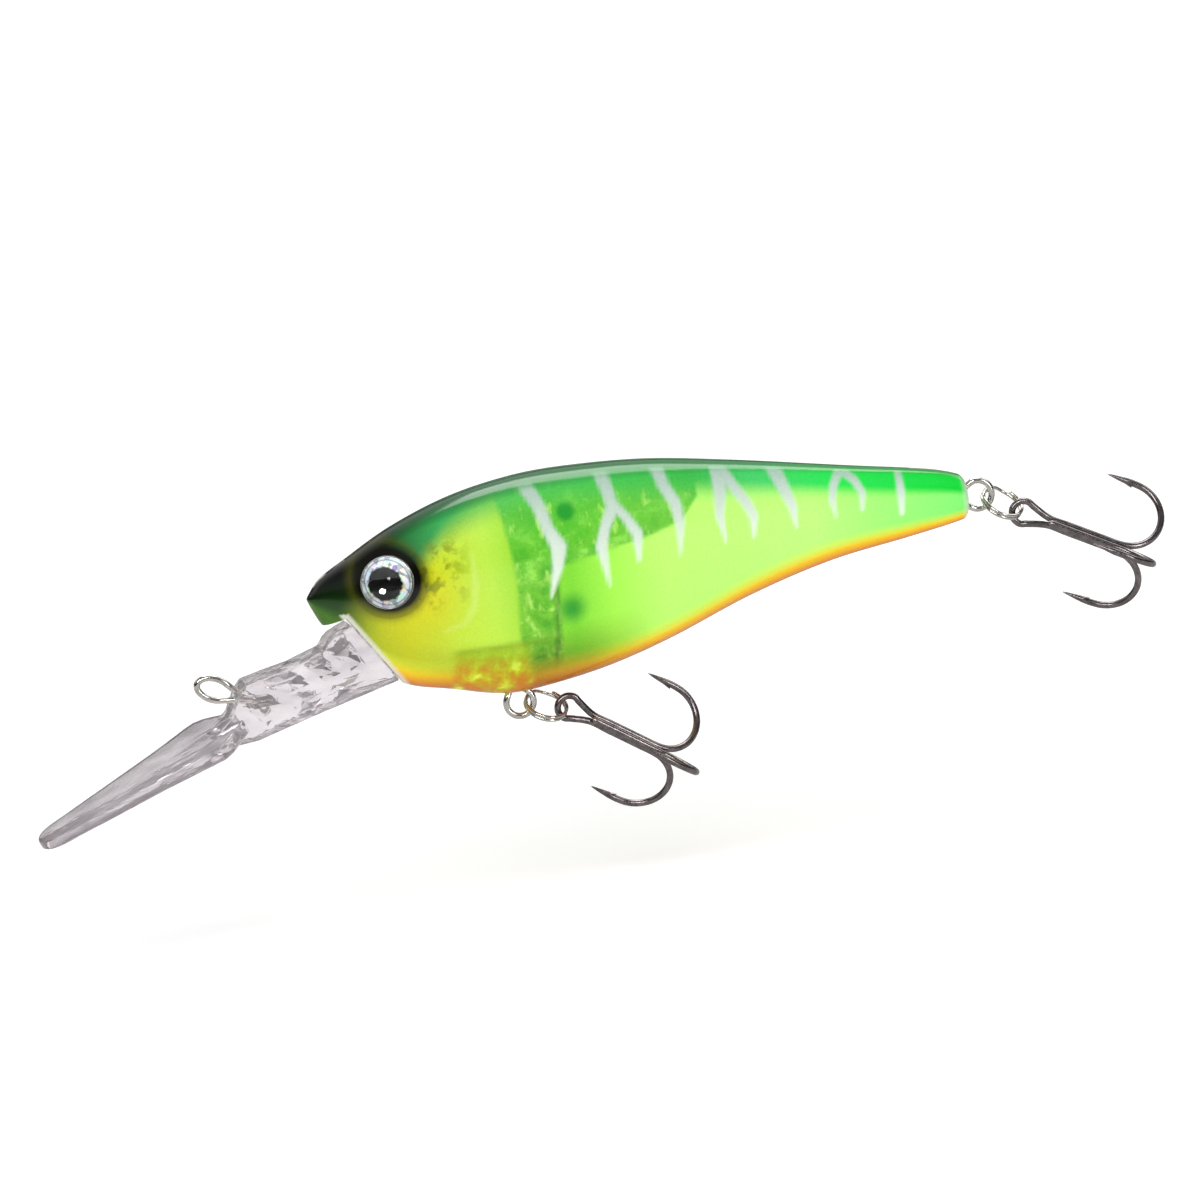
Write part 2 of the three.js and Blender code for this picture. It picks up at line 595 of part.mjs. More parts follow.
// ---------- assembly ----------
const lure = new THREE.Group();
const shells = bodyShells();
lure.add(
  named("body_left", shells.left, FLANK),
  named("body_right", shells.right, FLANK),
  named("diving_lip", divingLip(), CLEAR_LIP),
  named("line_tie", eyeWire(lineTieSettings()), STAINLESS),
  named("belly_hanger", eyeWire(BELLY_HANGER), STAINLESS),
  named("tail_hanger", eyeWire(TAIL_HANGER), STAINLESS),
  named("left_eye_foil", eyeFoil(-1), FOIL),
  named("right_eye_foil", eyeFoil(1), FOIL),
  named("left_eye_lens", eyeLens(-1), LENS),
  named("right_eye_lens", eyeLens(1), LENS),
  named("front_keel_slug", keelSlug(KEEL_SLUG.front), LEAD),
  named("rear_keel_slug", keelSlug(KEEL_SLUG.rear), LEAD),
  ...["top", "middle", "bottom"].map((place, i) => (
    named(`transfer_ball_${place}`, transferBall(i), TUNGSTEN)
  )),
  hangHook("belly", HANGING.belly),
  hangHook("tail", HANGING.tail),
);

const bounds = new THREE.Box3().setFromObject(lure, true);
lure.position.copy(bounds.getCenter(new THREE.Vector3())).negate();

const part = new THREE.Group();
part.add(lure);

export default part;
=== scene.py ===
"""Looks of the crankbait lure: painted shells, clear lip, foil eyes, wire fittings and treble hooks.

Shapes are worked out in millimetres with the nose tip as the origin, +X to the tail and the fish's
left flank towards -Y, as in the CAD source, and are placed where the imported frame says.
"""
import json
import math

import bmesh
import bpy
import numpy as np
from mathutils import Matrix, Vector


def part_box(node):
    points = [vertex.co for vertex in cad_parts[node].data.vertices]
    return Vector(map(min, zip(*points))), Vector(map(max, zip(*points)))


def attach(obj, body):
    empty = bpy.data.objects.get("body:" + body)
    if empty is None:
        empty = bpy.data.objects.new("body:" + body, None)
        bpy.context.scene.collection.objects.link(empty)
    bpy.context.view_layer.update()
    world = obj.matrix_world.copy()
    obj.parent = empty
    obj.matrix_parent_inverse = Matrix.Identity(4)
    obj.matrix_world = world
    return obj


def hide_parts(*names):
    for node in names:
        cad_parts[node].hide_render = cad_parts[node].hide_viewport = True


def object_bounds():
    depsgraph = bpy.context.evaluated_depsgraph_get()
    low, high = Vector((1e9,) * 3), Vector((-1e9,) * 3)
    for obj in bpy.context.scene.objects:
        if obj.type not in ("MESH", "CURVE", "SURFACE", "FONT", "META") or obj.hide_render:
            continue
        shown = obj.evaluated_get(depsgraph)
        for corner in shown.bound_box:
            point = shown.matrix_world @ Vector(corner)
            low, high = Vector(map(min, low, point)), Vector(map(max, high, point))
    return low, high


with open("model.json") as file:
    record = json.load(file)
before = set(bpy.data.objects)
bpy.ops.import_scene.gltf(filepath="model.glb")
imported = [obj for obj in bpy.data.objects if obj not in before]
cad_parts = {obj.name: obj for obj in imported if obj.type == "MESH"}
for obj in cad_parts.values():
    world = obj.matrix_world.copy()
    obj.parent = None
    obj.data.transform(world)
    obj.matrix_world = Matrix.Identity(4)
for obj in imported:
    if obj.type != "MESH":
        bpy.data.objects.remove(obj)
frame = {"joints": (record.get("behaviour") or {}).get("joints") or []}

CAD_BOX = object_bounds()
MM = 0.001

# ---------- body shape, as in the CAD source ----------
BODY_LENGTH = 99.0
SECTION_POWER = 2.25
WIDEST_AT = 0.54
WALL = 1.3
SEAM_GAP = 0.1
SEAM_ROUND = 0.16
END_ROUND = {"nose": 0.35, "tail": 0.9}
BACK = [
    (0, 0.3), (2, 2.6), (6, 4.9), (13.4, 8.7), (22.7, 11.9), (32, 13.5), (40, 13.75),
    (52, 13), (64.6, 10.9), (82, 7.4), (94, 5), (98, 3.7), (BODY_LENGTH, 2.9),
]
BELLY = [
    (0, -0.3), (1.7, -3.9), (6, -9.5), (12.4, -14.2), (19.4, -16.2), (27.5, -18.1), (34, -17.8),
    (43.3, -16.3), (52.7, -13.7), (65.2, -9.3), (77.6, -6.1), (89.8, -4.4), (98, -3.1),
    (BODY_LENGTH, -2.5),
]
HALF_WIDTH = [
    (0, 0.6), (1.5, 2), (5, 3.9), (12, 6), (20, 7.4), (30, 8.2), (38, 8.2), (52, 7), (66, 5.3),
    (82, 3.7), (94, 2.7), (98, 2.3), (BODY_LENGTH, 1.8),
]
NOSE_UNDERSIDE = np.array((1.7, -3.95))
MOUTH_TOP = np.array((4.9, -2.9))
MOUTH_BOTTOM = np.array((12.4, -14.1))
MOUTH_WALL_SHIFT = np.array((0.65, 1.6))
BEYOND = 15.0
EYE = {
    "x": 11.1, "z": 1.8, "radius": 3.8, "fit": 0.12, "socket": 1.05, "foil_floor": -1.0,
    "foil": 0.3, "lens_base": -0.65, "rim": 0.35, "crown": 0.75, "pupil": 2.4,
    "pupil_ahead": 0.3, "pupil_drop": 0.18,
}

# ---------- lip, as in the CAD source: s runs forward along it, n is the blade's upper normal ----------
LIP_ORIGIN = (8.1, -7.9)
LIP_ANGLE = math.radians(22.3)
BLADE_PLAN = [
    (21.5, 3.2), (23.4, 6.4), (25.4, 9.4), (27, 10.5), (28.8, 10.1), (32, 9), (36, 7.9),
    (42, 6.7), (50, 5.1),
]
BLADE_FLANK = {"from": 27.8, "to": 50.0, "steps": 24}
BLADE_TIP = {"s": 51.2, "half_width": 4.8, "reach": 4.6, "bluntness": 0.8, "steps": 25}
BLADE_UNDERSIDE = -1.4
BLADE_THICKNESS = {"root": 2.2, "tip": 1.3, "taper_from": 28.0, "taper_to": 60.0}
NECK_HALF_WIDTH = 3.25
NECK_PROFILE = [
    (0.95, 4.3), (4.1, 4.2), (5, 3.9), (6.3, 3.1), (11.5, 3.5), (15, 4.2), (18.6, 4.8), (20.2, 3.9),
    (22.6, 1.8), (26, 0.6), (27.5, -0.6), (26.6, -1.6), (21, -3.3), (12, -4.4), (-1.25, -6.3),
]
TONGUE = {"back": -6.5, "front": 1.5, "low": -3.6, "high": 2.4, "half_width": 2.0}
LIP_AXIS = Vector((-math.cos(LIP_ANGLE), 0, -math.sin(LIP_ANGLE)))
LIP_NORMAL = Vector((-math.sin(LIP_ANGLE), 0, math.cos(LIP_ANGLE)))
# Shallow facets sunk in the neck's sides, which the CAD solid leaves flat: each is a closed outline
# of [s, n] round a deepest point.
NECK_POCKETS = [
    [(2.2, 2.8), (5.6, 2.2), (4.4, -1.4), (1.8, -2.2)],
    [(6.6, 1.9), (9.8, 2.6), (8.4, -0.8), (5.6, -0.9)],
    [(11.2, 2.3), (16.8, 3.4), (14.0, 0.6), (10.4, 0.0)],
    [(2.8, -3.6), (7.6, -2.6), (9.2, -3.9), (3.4, -5.1)],
    [(9.4, -1.8), (13.4, -0.8), (14.6, -3.0), (10.6, -3.3)],
    [(15.2, -0.2), (18.4, 3.0), (20.2, 1.4), (18.8, -2.2)],
]
POCKET = {"depth": 1.3, "outside": 0.5, "spread": 1.3}

# ---------- wire fittings, as in the CAD source ----------
HANGER_WIRE = 0.475
CROSSING_OFFSET = 0.52
WIRE_END_GAP = 14
LINE_TIE = {"ru": 1.55, "rv": 2.65, "inner": 1.3, "span": 7.9}
LINE_TIE_AT = {"s": 22.7, "n": 6.0, "rise": 48}
BELLY_HANGER = {
    "centre": (29.4, -19.85), "tilt": -77, "ru": 2.03, "rv": 2.03, "inner": 1.35, "span": 5.1,
}
TAIL_HANGER = {
    "centre": (100.66, 0.18), "tilt": 0, "ru": 2.1, "rv": 2.1, "inner": 1.25, "span": 7.0,
}
RING = {
    "wire": 0.25, "radius": 3.07, "pitch": 0.53, "twist": 30, "seat": 0.85, "start": 28, "end": 692,
    "step_from": 335, "step_to": 385, "step_place": 100,
}
HOOK = {
    "wire": 0.5, "shank_offset": 0.62, "eye_radius": 1.72, "eye_seat": 0.42, "bend_centre": 14.65,
    "bend_reach": 5.15, "point_offset": 10.7, "cone_base": 13.4, "tip": 10.1,
    "barb": {"at": 14.1, "length": 1.5, "height": 0.75, "root": 0.3, "thickness": 0.36},
}
HOOK_EYE_ANGLES = (52, 90, 135, 180, 225, 270, 308)
SHANK_RUN = (3.9, 7, 12.4)  # the shanks close up nearer to the eye than in the CAD solid
POINT_RUN = (HOOK["cone_base"], 11.7, HOOK["tip"])
NEEDLE_RADIUS = 0.03
BRAZE = {"from": 4.4, "to": 12.6, "core": 0.1, "swell": 0.34, "steps": 40}
TINES = {"upper": 60, "lower": -60, "left": 180}
HANGING = {
    "belly": {"ring_pitch": 15.7, "sway": 3, "hook_pitch": 36},
    "tail": {"ring_pitch": 27, "sway": -11, "hook_pitch": 22.5},
}
BALL_RADIUS = 2.1
KEEL_SLUG = {"radius": 1.5, "length": 4.2, "chamfer": 0.25}


def joint(name):
    return next(j for j in frame["joints"] if j["name"] == name)


def in_plane(x, z):
    """A point of the seam plane, in millimetres from the nose tip."""
    return Vector((x, 0, z))


ORIGIN = Vector(joint("tail_ring_swing")["pos_m"]) - MM * in_plane(*TAIL_HANGER["centre"])


# ---------- general helpers ----------
def smoothstep(low, high, value):
    t = np.clip((value - low) / (high - low), 0, 1)
    return t * t * (3 - 2 * t)


def curve_through(points):
    """A smooth curve through points with rising x, the same one that the CAD source uses."""
    xs, ys = np.array(points, float).T
    slopes = np.empty_like(ys)
    slopes[1:-1] = (ys[2:] - ys[:-2]) / (xs[2:] - xs[:-2])
    slopes[0] = (ys[1] - ys[0]) / (xs[1] - xs[0])
    slopes[-1] = (ys[-1] - ys[-2]) / (xs[-1] - xs[-2])

    def at(x):
        x = np.clip(np.asarray(x, float), xs[0], xs[-1])
        i = np.clip(np.searchsorted(xs, x, side="right") - 1, 0, len(xs) - 2)
        h = xs[i + 1] - xs[i]
        t = (x - xs[i]) / h
        start = (2 * t**3 - 3 * t**2 + 1) * ys[i] + (t**3 - 2 * t**2 + t) * h * slopes[i]
        return start + (3 * t**2 - 2 * t**3) * ys[i + 1] + (t**3 - t**2) * h * slopes[i + 1]

    return at


def between(p, q, start, end, t):
    """The point that is at p when t is start and at q when t is end."""
    return (end - t) / (end - start) * p + (t - start) / (end - start) * q


def catmull_rom(points, per_span):
    """Centripetal Catmull-Rom curve through points, sampled per_span times between neighbours."""
    p = [np.array(q, float) for q in points]
    p = [2 * p[0] - p[1], *p, 2 * p[-1] - p[-2]]
    samples = []
    for p0, p1, p2, p3 in zip(p, p[1:], p[2:], p[3:]):
        knots = [max(np.linalg.norm(b - a), 1e-6) ** 0.5 for a, b in ((p0, p1), (p1, p2), (p2, p3))]
        t0, t1, t2, t3 = np.cumsum([0.0, *knots])
        for t in np.linspace(t1, t2, per_span, endpoint=False):
            a1, a2, a3 = between(p0, p1, t0, t1, t), between(p1, p2, t1, t2, t), between(p2, p3, t2, t3, t)
            b1, b2 = between(a1, a2, t0, t2, t), between(a2, a3, t1, t3, t)
            samples.append(between(b1, b2, t1, t2, t))
    samples.append(p[-2])
    return np.array(samples)


def make_object(name, points, faces, smooth_angle=35):
    """A closed mesh object from millimetre points; its faces are turned outwards."""
    mesh = bpy.data.meshes.new(name)
    mesh.from_pydata([ORIGIN + MM * Vector(p) for p in points], [], faces)
    tidy = bmesh.new()
    tidy.from_mesh(mesh)
    bmesh.ops.remove_doubles(tidy, verts=tidy.verts, dist=1e-7)
    bmesh.ops.recalc_face_normals(tidy, faces=tidy.faces)
    tidy.to_mesh(mesh)
    tidy.free()
    made = bpy.data.objects.new(name, mesh)
    bpy.context.scene.collection.objects.link(made)
    shade(made, smooth_angle)
    return made


def shade(obj, angle=35):
    """Smooth shading, with edges sharper than the angle left crisp."""
    obj.data.shade_smooth()
    obj.data.set_sharp_from_angle(angle=math.radians(angle))


def combine(obj, other, operation):
    """Joins, cuts or clips obj with another closed object, which is used up."""
    modifier = obj.modifiers.new("boolean", "BOOLEAN")
    modifier.operation = operation
    modifier.solver = "MANIFOLD"
    modifier.object = other
    bpy.context.view_layer.update()
    shown = obj.evaluated_get(bpy.context.evaluated_depsgraph_get())
    made = bpy.data.meshes.new_from_object(shown)
    obj.modifiers.clear()
    obj.data = made
    bpy.data.objects.remove(other)
    return obj


def finish_piece(obj, body, materials, stands_for):
    """Gives a piece its materials and the body it rides on, and hides the CAD node that it stands for."""
    obj.data.materials.clear()
    for each in materials:
        obj.data.materials.append(each)
    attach(obj, body)
    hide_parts(stands_for)
    return obj


def prism_faces(count):
    """Faces of a prism whose two ends, of count points each, are stored one after the other."""
    faces = [list(range(count)), list(range(2 * count - 1, count - 1, -1))]
    return faces + [[i, (i + 1) % count, count + (i + 1) % count, count + i] for i in range(count)]


def tube_faces(rings, around, first=0):
    """Side faces between closed rings of points, stored ring after ring from the point first."""
    faces = []
    for start in range(first, first + (rings - 1) * around, around):
        for k in range(around):
            near, far = start + k, start + (k + 1) % around
            faces.append([near, far, far + around, near + around])
    return faces


def across_body(name, outline, half_width, bevel=0.0, segments=3):
    """A closed outline of [x, z] points extruded across the seam plane, its edges rounded."""
    points = [(x, side * half_width, z) for side in (-1, 1) for x, z in outline]
    made = make_object(name, points, prism_faces(len(outline)))
    if bevel:
        round_edges(made, bevel, segments)
    return made


def round_edges(obj, width, segments=3, angle=25):
    """Bevels every edge that turns by more than the angle."""
    rounded = bmesh.new()
    rounded.from_mesh(obj.data)
    least = math.radians(angle)
    sharp = [e for e in rounded.edges if len(e.link_faces) == 2 and e.calc_face_angle() > least]
    bmesh.ops.bevel(
        rounded, geom=sharp, offset=width * MM, segments=segments, profile=0.5, affect="EDGES",
        clamp_overlap=True,
    )
    rounded.to_mesh(obj.data)
    rounded.free()
    shade(obj)


def sweep(name, path, radii, sides=14):
    """A closed round wire along a path of points, with one radius or one per point."""
    path = np.array(path, float)
    radii = np.broadcast_to(np.asarray(radii, float), (len(path),))
    tangents = np.gradient(path, axis=0)
    tangents /= np.linalg.norm(tangents, axis=1)[:, None]
    normal = np.cross(tangents[0], (0.3, 0.5, 0.8))
    points = []
    for centre, tangent, radius in zip(path, tangents, radii):
        normal = normal - tangent * normal.dot(tangent)
        normal /= np.linalg.norm(normal)
        across = np.cross(tangent, normal)
        for k in range(sides):
            turn = 2 * math.pi * k / sides
            points.append(centre + radius * (math.cos(turn) * normal + math.sin(turn) * across))
    faces = tube_faces(len(path), sides)
    faces += [list(range(sides)), list(range(len(points) - sides, len(points)))]
    return make_object(name, points, faces, smooth_angle=50)


def rounded_ends(path, wire, rounding=0.12):
    """Radii along a path of constant wire whose two cut ends are slightly rounded over."""
    steps = np.linalg.norm(np.diff(path, axis=0), axis=1)
    along = np.concatenate(([0], np.cumsum(steps)))
    to_end = np.minimum(along, along[-1] - along)
    dip = np.clip(1 - to_end / rounding, 0, 1)
    return wire - rounding * (1 - np.sqrt(1 - 0.96 * dip**2))


# ---------- body ----------
back_at = curve_through(BACK)
belly_at = curve_through(BELLY)
half_width_at = curve_through(HALF_WIDTH)


def rounded_power(value):
    return np.sign(value) * np.abs(value) ** (2 / SECTION_POWER)


def section(x, angle, inset, scale=1.0):
    """The body's cross-section at x: y and z at an angle from the top, moved in from the skin."""
    low = belly_at(x) + inset
    high = np.maximum(back_at(x) - inset, low + 0.4)
    widest = low + WIDEST_AT * (high - low)
    up = rounded_power(np.cos(angle))
    z = widest + up * scale * np.where(up > 0, high - widest, widest - low)
    y = rounded_power(np.sin(angle)) * scale * np.maximum(half_width_at(x) - inset, 0.2)
    return y, z


def end_scale(x):
    """How much of its full section the skin keeps near the two ends, whose rims are rounded."""
    nose, tail = END_ROUND["nose"], END_ROUND["tail"]
    past_nose = np.clip(1 - x / nose, 0, 1)
    past_tail = np.clip((x - (BODY_LENGTH - tail)) / tail, 0, 1)
    return 1 - 0.6 * (1 - np.sqrt(1 - past_nose**2)) - 0.35 * (1 - np.sqrt(1 - past_tail**2))


def half_form(name, side, inset, stations, sides):
    """One half of the fish form as a closed solid, flat on the seam plane with a rounded seam edge."""
    s = np.linspace(0, 1, stations)
    x = BODY_LENGTH * (0.35 * s + 0.325 * (1 - np.cos(math.pi * s)))  # closer towards both ends
    if not inset:
        ends = [END_ROUND["nose"] * t for t in (0.08, 0.3, 0.6)]
        ends += [BODY_LENGTH - END_ROUND["tail"] * t for t in (0.5, 0.25, 0.1, 0.03)]
        x = np.unique(np.concatenate((x, ends)))
    even = np.linspace(0, math.pi, sides)
    near_seam = even[1] * np.array((0.04, 0.1, 0.2, 0.4))
    angles = np.unique(np.concatenate((even, near_seam, math.pi - near_seam)))[::-1]
    grid_x, grid_angle = np.meshgrid(x, angles, indexing="ij")
    scale = end_scale(grid_x) if not inset else 1
    y, z = section(grid_x, grid_angle, inset, scale)
    plane = SEAM_GAP / 2 if not inset else 0
    y = np.maximum(np.abs(y), plane)
    if not inset:
        short = np.clip(SEAM_ROUND - (y - plane), 0, SEAM_ROUND)
        drawn = SEAM_ROUND - np.sqrt(SEAM_ROUND**2 - short**2)
        z += np.where(np.cos(grid_angle) > 0, -drawn, drawn)
    inset_x = inset + grid_x * (BODY_LENGTH - 2 * inset) / BODY_LENGTH
    points = np.stack((inset_x, side * y, z), axis=-1).reshape(-1, 3).tolist()
    rows, columns = grid_x.shape
    faces = tube_faces(rows, columns)
    faces += [list(range(columns)), list(range((rows - 1) * columns, rows * columns))]
    return make_object(name, points, faces)


def mouth_cut(name, shift=(0, 0)):
    """The wedge cut out of the nose for the mouth, carried on well outside the fish."""
    ahead = NOSE_UNDERSIDE + 6 * (NOSE_UNDERSIDE - MOUTH_TOP)
    below = MOUTH_BOTTOM + 0.5 * (MOUTH_BOTTOM - MOUTH_TOP)
    outline = [ahead, MOUTH_TOP, MOUTH_BOTTOM, below, (ahead[0], below[1])]
    return across_body(name, [tuple(np.array(p) + shift) for p in outline], BEYOND)


def height_share(x, z):
    """How far z lies from the widest level, as a share of the way to the back or the belly."""
    low, high = belly_at(x), back_at(x)
    widest = low + WIDEST_AT * (high - low)
    return np.abs(z - widest) / np.where(z > widest, high - widest, widest - low)


def flank_y(x, z):
    """Half the body's width at a point of its side view."""
    share = np.clip(height_share(x, z), 0, 1)
    return half_width_at(x) * (1 - share**SECTION_POWER) ** (1 / SECTION_POWER)


def eye_frame(side):
    """A matrix whose Y axis points out of the flank at the eye's centre."""
    d = 0.5
    x, z = EYE["x"], EYE["z"]
    slope_x = (flank_y(x + d, z) - flank_y(x - d, z)) / (2 * d)
    slope_z = (flank_y(x, z + d) - flank_y(x, z - d)) / (2 * d)
    normal = Vector((-slope_x, side, -slope_z)).normalized()
    turn = Vector((0, 1, 0)).rotation_difference(normal)
    return Matrix.Translation((x, side * float(flank_y(x, z)), z)) @ turn.to_matrix().to_4x4()


def lathe(name, profile, matrix, segments=96, smooth_angle=35):
    """A profile of [radius, height] points, from axis to axis, turned round the local Y axis."""
    inner = profile[1:-1]
    points = [matrix @ Vector((0, profile[0][1], 0)), matrix @ Vector((0, profile[-1][1], 0))]
    for radius, height in inner:
        for k in range(segments):
            turn = 2 * math.pi * k / segments
            points.append(matrix @ Vector((radius * math.cos(turn), height, radius * math.sin(turn))))
    first = 2
    last = len(points) - segments
    faces = [[0, first + k, first + (k + 1) % segments] for k in range(segments)]
    faces += tube_faces(len(inner), segments, first)
    faces += [[1, last + k, last + (k + 1) % segments] for k in range(segments)]
    return make_object(name, points, faces, smooth_angle)


def eye_socket(name, side):
    radius = EYE["radius"] + EYE["fit"]
    profile = [(0, -EYE["socket"]), (radius, -EYE["socket"]), (radius, BEYOND / 3), (0, BEYOND / 3)]
    return lathe(name, profile, eye_frame(side), segments=72)


def shell(side, name):
    """One moulded half of the body: skin, wall, mouth and eye socket."""
    made = half_form(name, side, 0, stations=300, sides=92)
    cavity = half_form("cavity", side, WALL, stations=70, sides=30)
    combine(cavity, mouth_cut("wall_cut", MOUTH_WALL_SHIFT), "DIFFERENCE")
    combine(made, cavity, "DIFFERENCE")
    combine(made, mouth_cut("mouth"), "DIFFERENCE")
    combine(made, eye_socket("socket", side), "DIFFERENCE")
    shade(made, 40)
    return made


# ---------- paint: masks over the skin, one value per vertex ----------
# Tiger stripes as [x, z, half width] along each brush stroke, from the back down the flank.
STRIPES = [
    [(32.9, 13.2, 1.1), (34.4, 9.8, 0.95), (35.2, 6.3, 0.85), (36.4, 3.6, 1.15), (35.9, 0.9, 0.8),
     (34.4, -3.6, 0.12)],
    [(44.4, 13.3, 1.1), (45.0, 9.8, 0.9), (45.2, 7.9, 0.9), (43.6, 5.2, 0.75), (42.7, 2.6, 0.85),
     (43.3, -3.4, 0.1)],
    [(45.1, 8.6, 0.75), (46.9, 6.3, 0.65), (48.3, 3.6, 0.8), (48.1, -0.2, 0.3)],
    [(52.8, 12.6, 1.0), (53.4, 9.6, 0.85), (54.6, 7.0, 0.85), (54.9, 4.1, 0.7), (54.4, -0.6, 0.12)],
    [(62.0, 10.9, 1.15), (61.5, 6.9, 0.9), (61.0, 4.1, 0.65), (61.5, 0.1, 0.12)],
    [(62.3, 10.6, 0.9), (63.8, 7.7, 0.8), (65.3, 5.2, 0.75), (66.1, 3.1, 0.65), (65.8, 0.2, 0.25)],
    [(70.3, 9.4, 1.1), (71.2, 6.4, 0.9), (72.1, 3.6, 0.7), (72.4, 0.4, 0.15)],
    [(80.2, 7.5, 0.6), (78.7, 5.4, 0.6), (78.2, 3.4, 0.5), (78.5, 0.8, 0.1)],
    [(80.2, 7.5, 0.6), (82.0, 5.7, 0.6), (82.9, 3.7, 0.5), (82.6, 1.4, 0.25)],
    [(88.8, 6.0, 0.45), (88.7, 3.1, 0.6), (88.5, -0.2, 0.35)],
]
STRIPE_SOFTNESS = 0.32
STRIPE_TOP = (0.935, 0.985)
# The ballast chamber that shows through the paint: an upright leg, whose two walls are given as the
# x at each height, and a channel to the rear, whose floor is given as the height at each x.
LEG_FRONT = curve_through([(-20, 30.6), (-9, 29.4), (0, 29.6), (10, 28.6), (14, 28.2)])
LEG_REAR = curve_through([(-20, 34.0), (-11.7, 34.5), (-4, 35.1), (1, 35.7)])
LEG_WALL = {"behind": 0.15, "spread": 0.42, "fade": (-3, 0)}
CHANNEL_FLOOR = [(35.7, 0.7), (42.4, 1.8), (50.1, 3.0), (55.2, 4.4), (58.0, 7.4), (59.0, 14)]
CHAMBER_SOFTNESS = 0.35
# The height of the orange belly band in millimetres, and where the green back starts as a share of
# the body's height.
BELLY_BAND = curve_through([
    (0, 4), (16, 5.2), (29, 6), (42, 5), (56, 4.3), (70, 4.4), (84, 3.6), (99, 2),
])
BACK_START = curve_through([
    (0, 0.5), (10, 0.58), (16, 0.67), (21, 0.78), (30, 0.83), (45, 0.8), (60, 0.74), (72, 0.7),
    (84, 0.64), (99, 0.54),
])
BACK_SPAN = 0.17
# Locating posts as [x, z, solid radius, faded radius].
POST_SPOTS = [(38.2, 8.4, 0.9, 1.7), (37.3, -5.7, 0.3, 3.2)]
KEEL = {"front": (18.6, 20.4), "rear": (29.5, 31.5), "top": (-10.3, -9.3)}
KEEL_WALL = {"front": (19, 21), "rear": (33, 35), "z": -9.9, "spread": 0.4}
DARK_HEAD = {"solid": 4.5, "faded": 12.5, "lean": 0.35}
HALO = {"x": 11.5, "z": 1.95, "black": 3.9, "fade": 6.9}
CHEEK = {"x": 15.8, "z": -1.0, "spread": 5.2}
# A painted highlight: a pale streak along the gill plate's edge, as [x, z, half width] points.
GILL_HIGHLIGHT = [
    (18.6, -6.4, 0.1), (21.5, -5.6, 0.3), (23.0, -3.4, 0.45), (23.6, -0.4, 0.5), (23.7, 4.4, 0.2),
]
GILL_HIGHLIGHT_SOFTNESS = 0.55
MOUTH_EDGE = {"wide": 0.55, "soft": 0.2}
# What counts as painted skin: how nearly a vertex fills the section (1 on the skin, less inside),
# the ends that are skin all through, and how near the seam plane a face is a bare rim instead.
SKIN = {"fullness": 0.955, "nose": 1.2, "tail": 1.0, "seam": 0.001}


def stroke_mask(x, z, stroke, soft):
    """1 inside a brush stroke of changing width, 0 outside, with a soft edge."""
    mask = np.zeros_like(x)
    for (x0, z0, w0), (x1, z1, w1) in zip(stroke, stroke[1:]):
        dx, dz = x1 - x0, z1 - z0
        t = np.clip(((x - x0) * dx + (z - z0) * dz) / (dx * dx + dz * dz), 0, 1)
        reach = np.hypot(x - x0 - t * dx, z - z0 - t * dz) - (w0 + t * (w1 - w0))
        mask = np.maximum(mask, 1 - smoothstep(-soft, soft, reach))
    return mask


def spot(x, z, centre_x, centre_z, inner, outer):
    return 1 - smoothstep(inner, outer, np.hypot(x - centre_x, z - centre_z))


def window(value, rise, fall):
    """1 between two limits, each of which is a range to fade over."""
    return smoothstep(*rise, value) * (1 - smoothstep(*fall, value))


def ridge(value, centre, spread):
    """1 on a line, falling off smoothly to both sides."""
    return np.exp(-(((value - centre) / spread) ** 2))


def chamber_mask(x, z):
    """1 inside the outline of the leg and the channel."""
    fade = (-CHAMBER_SOFTNESS, CHAMBER_SOFTNESS)
    leg = smoothstep(*fade, x - LEG_FRONT(z)) * (1 - smoothstep(*fade, x - LEG_REAR(z)))
    floor_x, floor_z = np.array(CHANNEL_FLOOR).T
    floor = np.interp(x, floor_x, floor_z, left=-30, right=30)
    above = smoothstep(*fade, z - floor) * smoothstep(*fade, x - LEG_REAR(np.minimum(z, 1)) + 1)
    return np.maximum(leg, above * (x < floor_x[-1]))


def mouth_edge_mask(x, z):
    """1 on the narrow bare band beside the mouth's rear edge."""
    along = (MOUTH_BOTTOM - MOUTH_TOP) / np.linalg.norm(MOUTH_BOTTOM - MOUTH_TOP)
    off = (x - MOUTH_TOP[0]) * -along[1] + (z - MOUTH_TOP[1]) * along[0]
    wide, soft = MOUTH_EDGE["wide"], MOUTH_EDGE["soft"]
    return (1 - smoothstep(wide - soft, wide + soft, np.abs(off))) * (z < MOUTH_TOP[1] + 0.6)


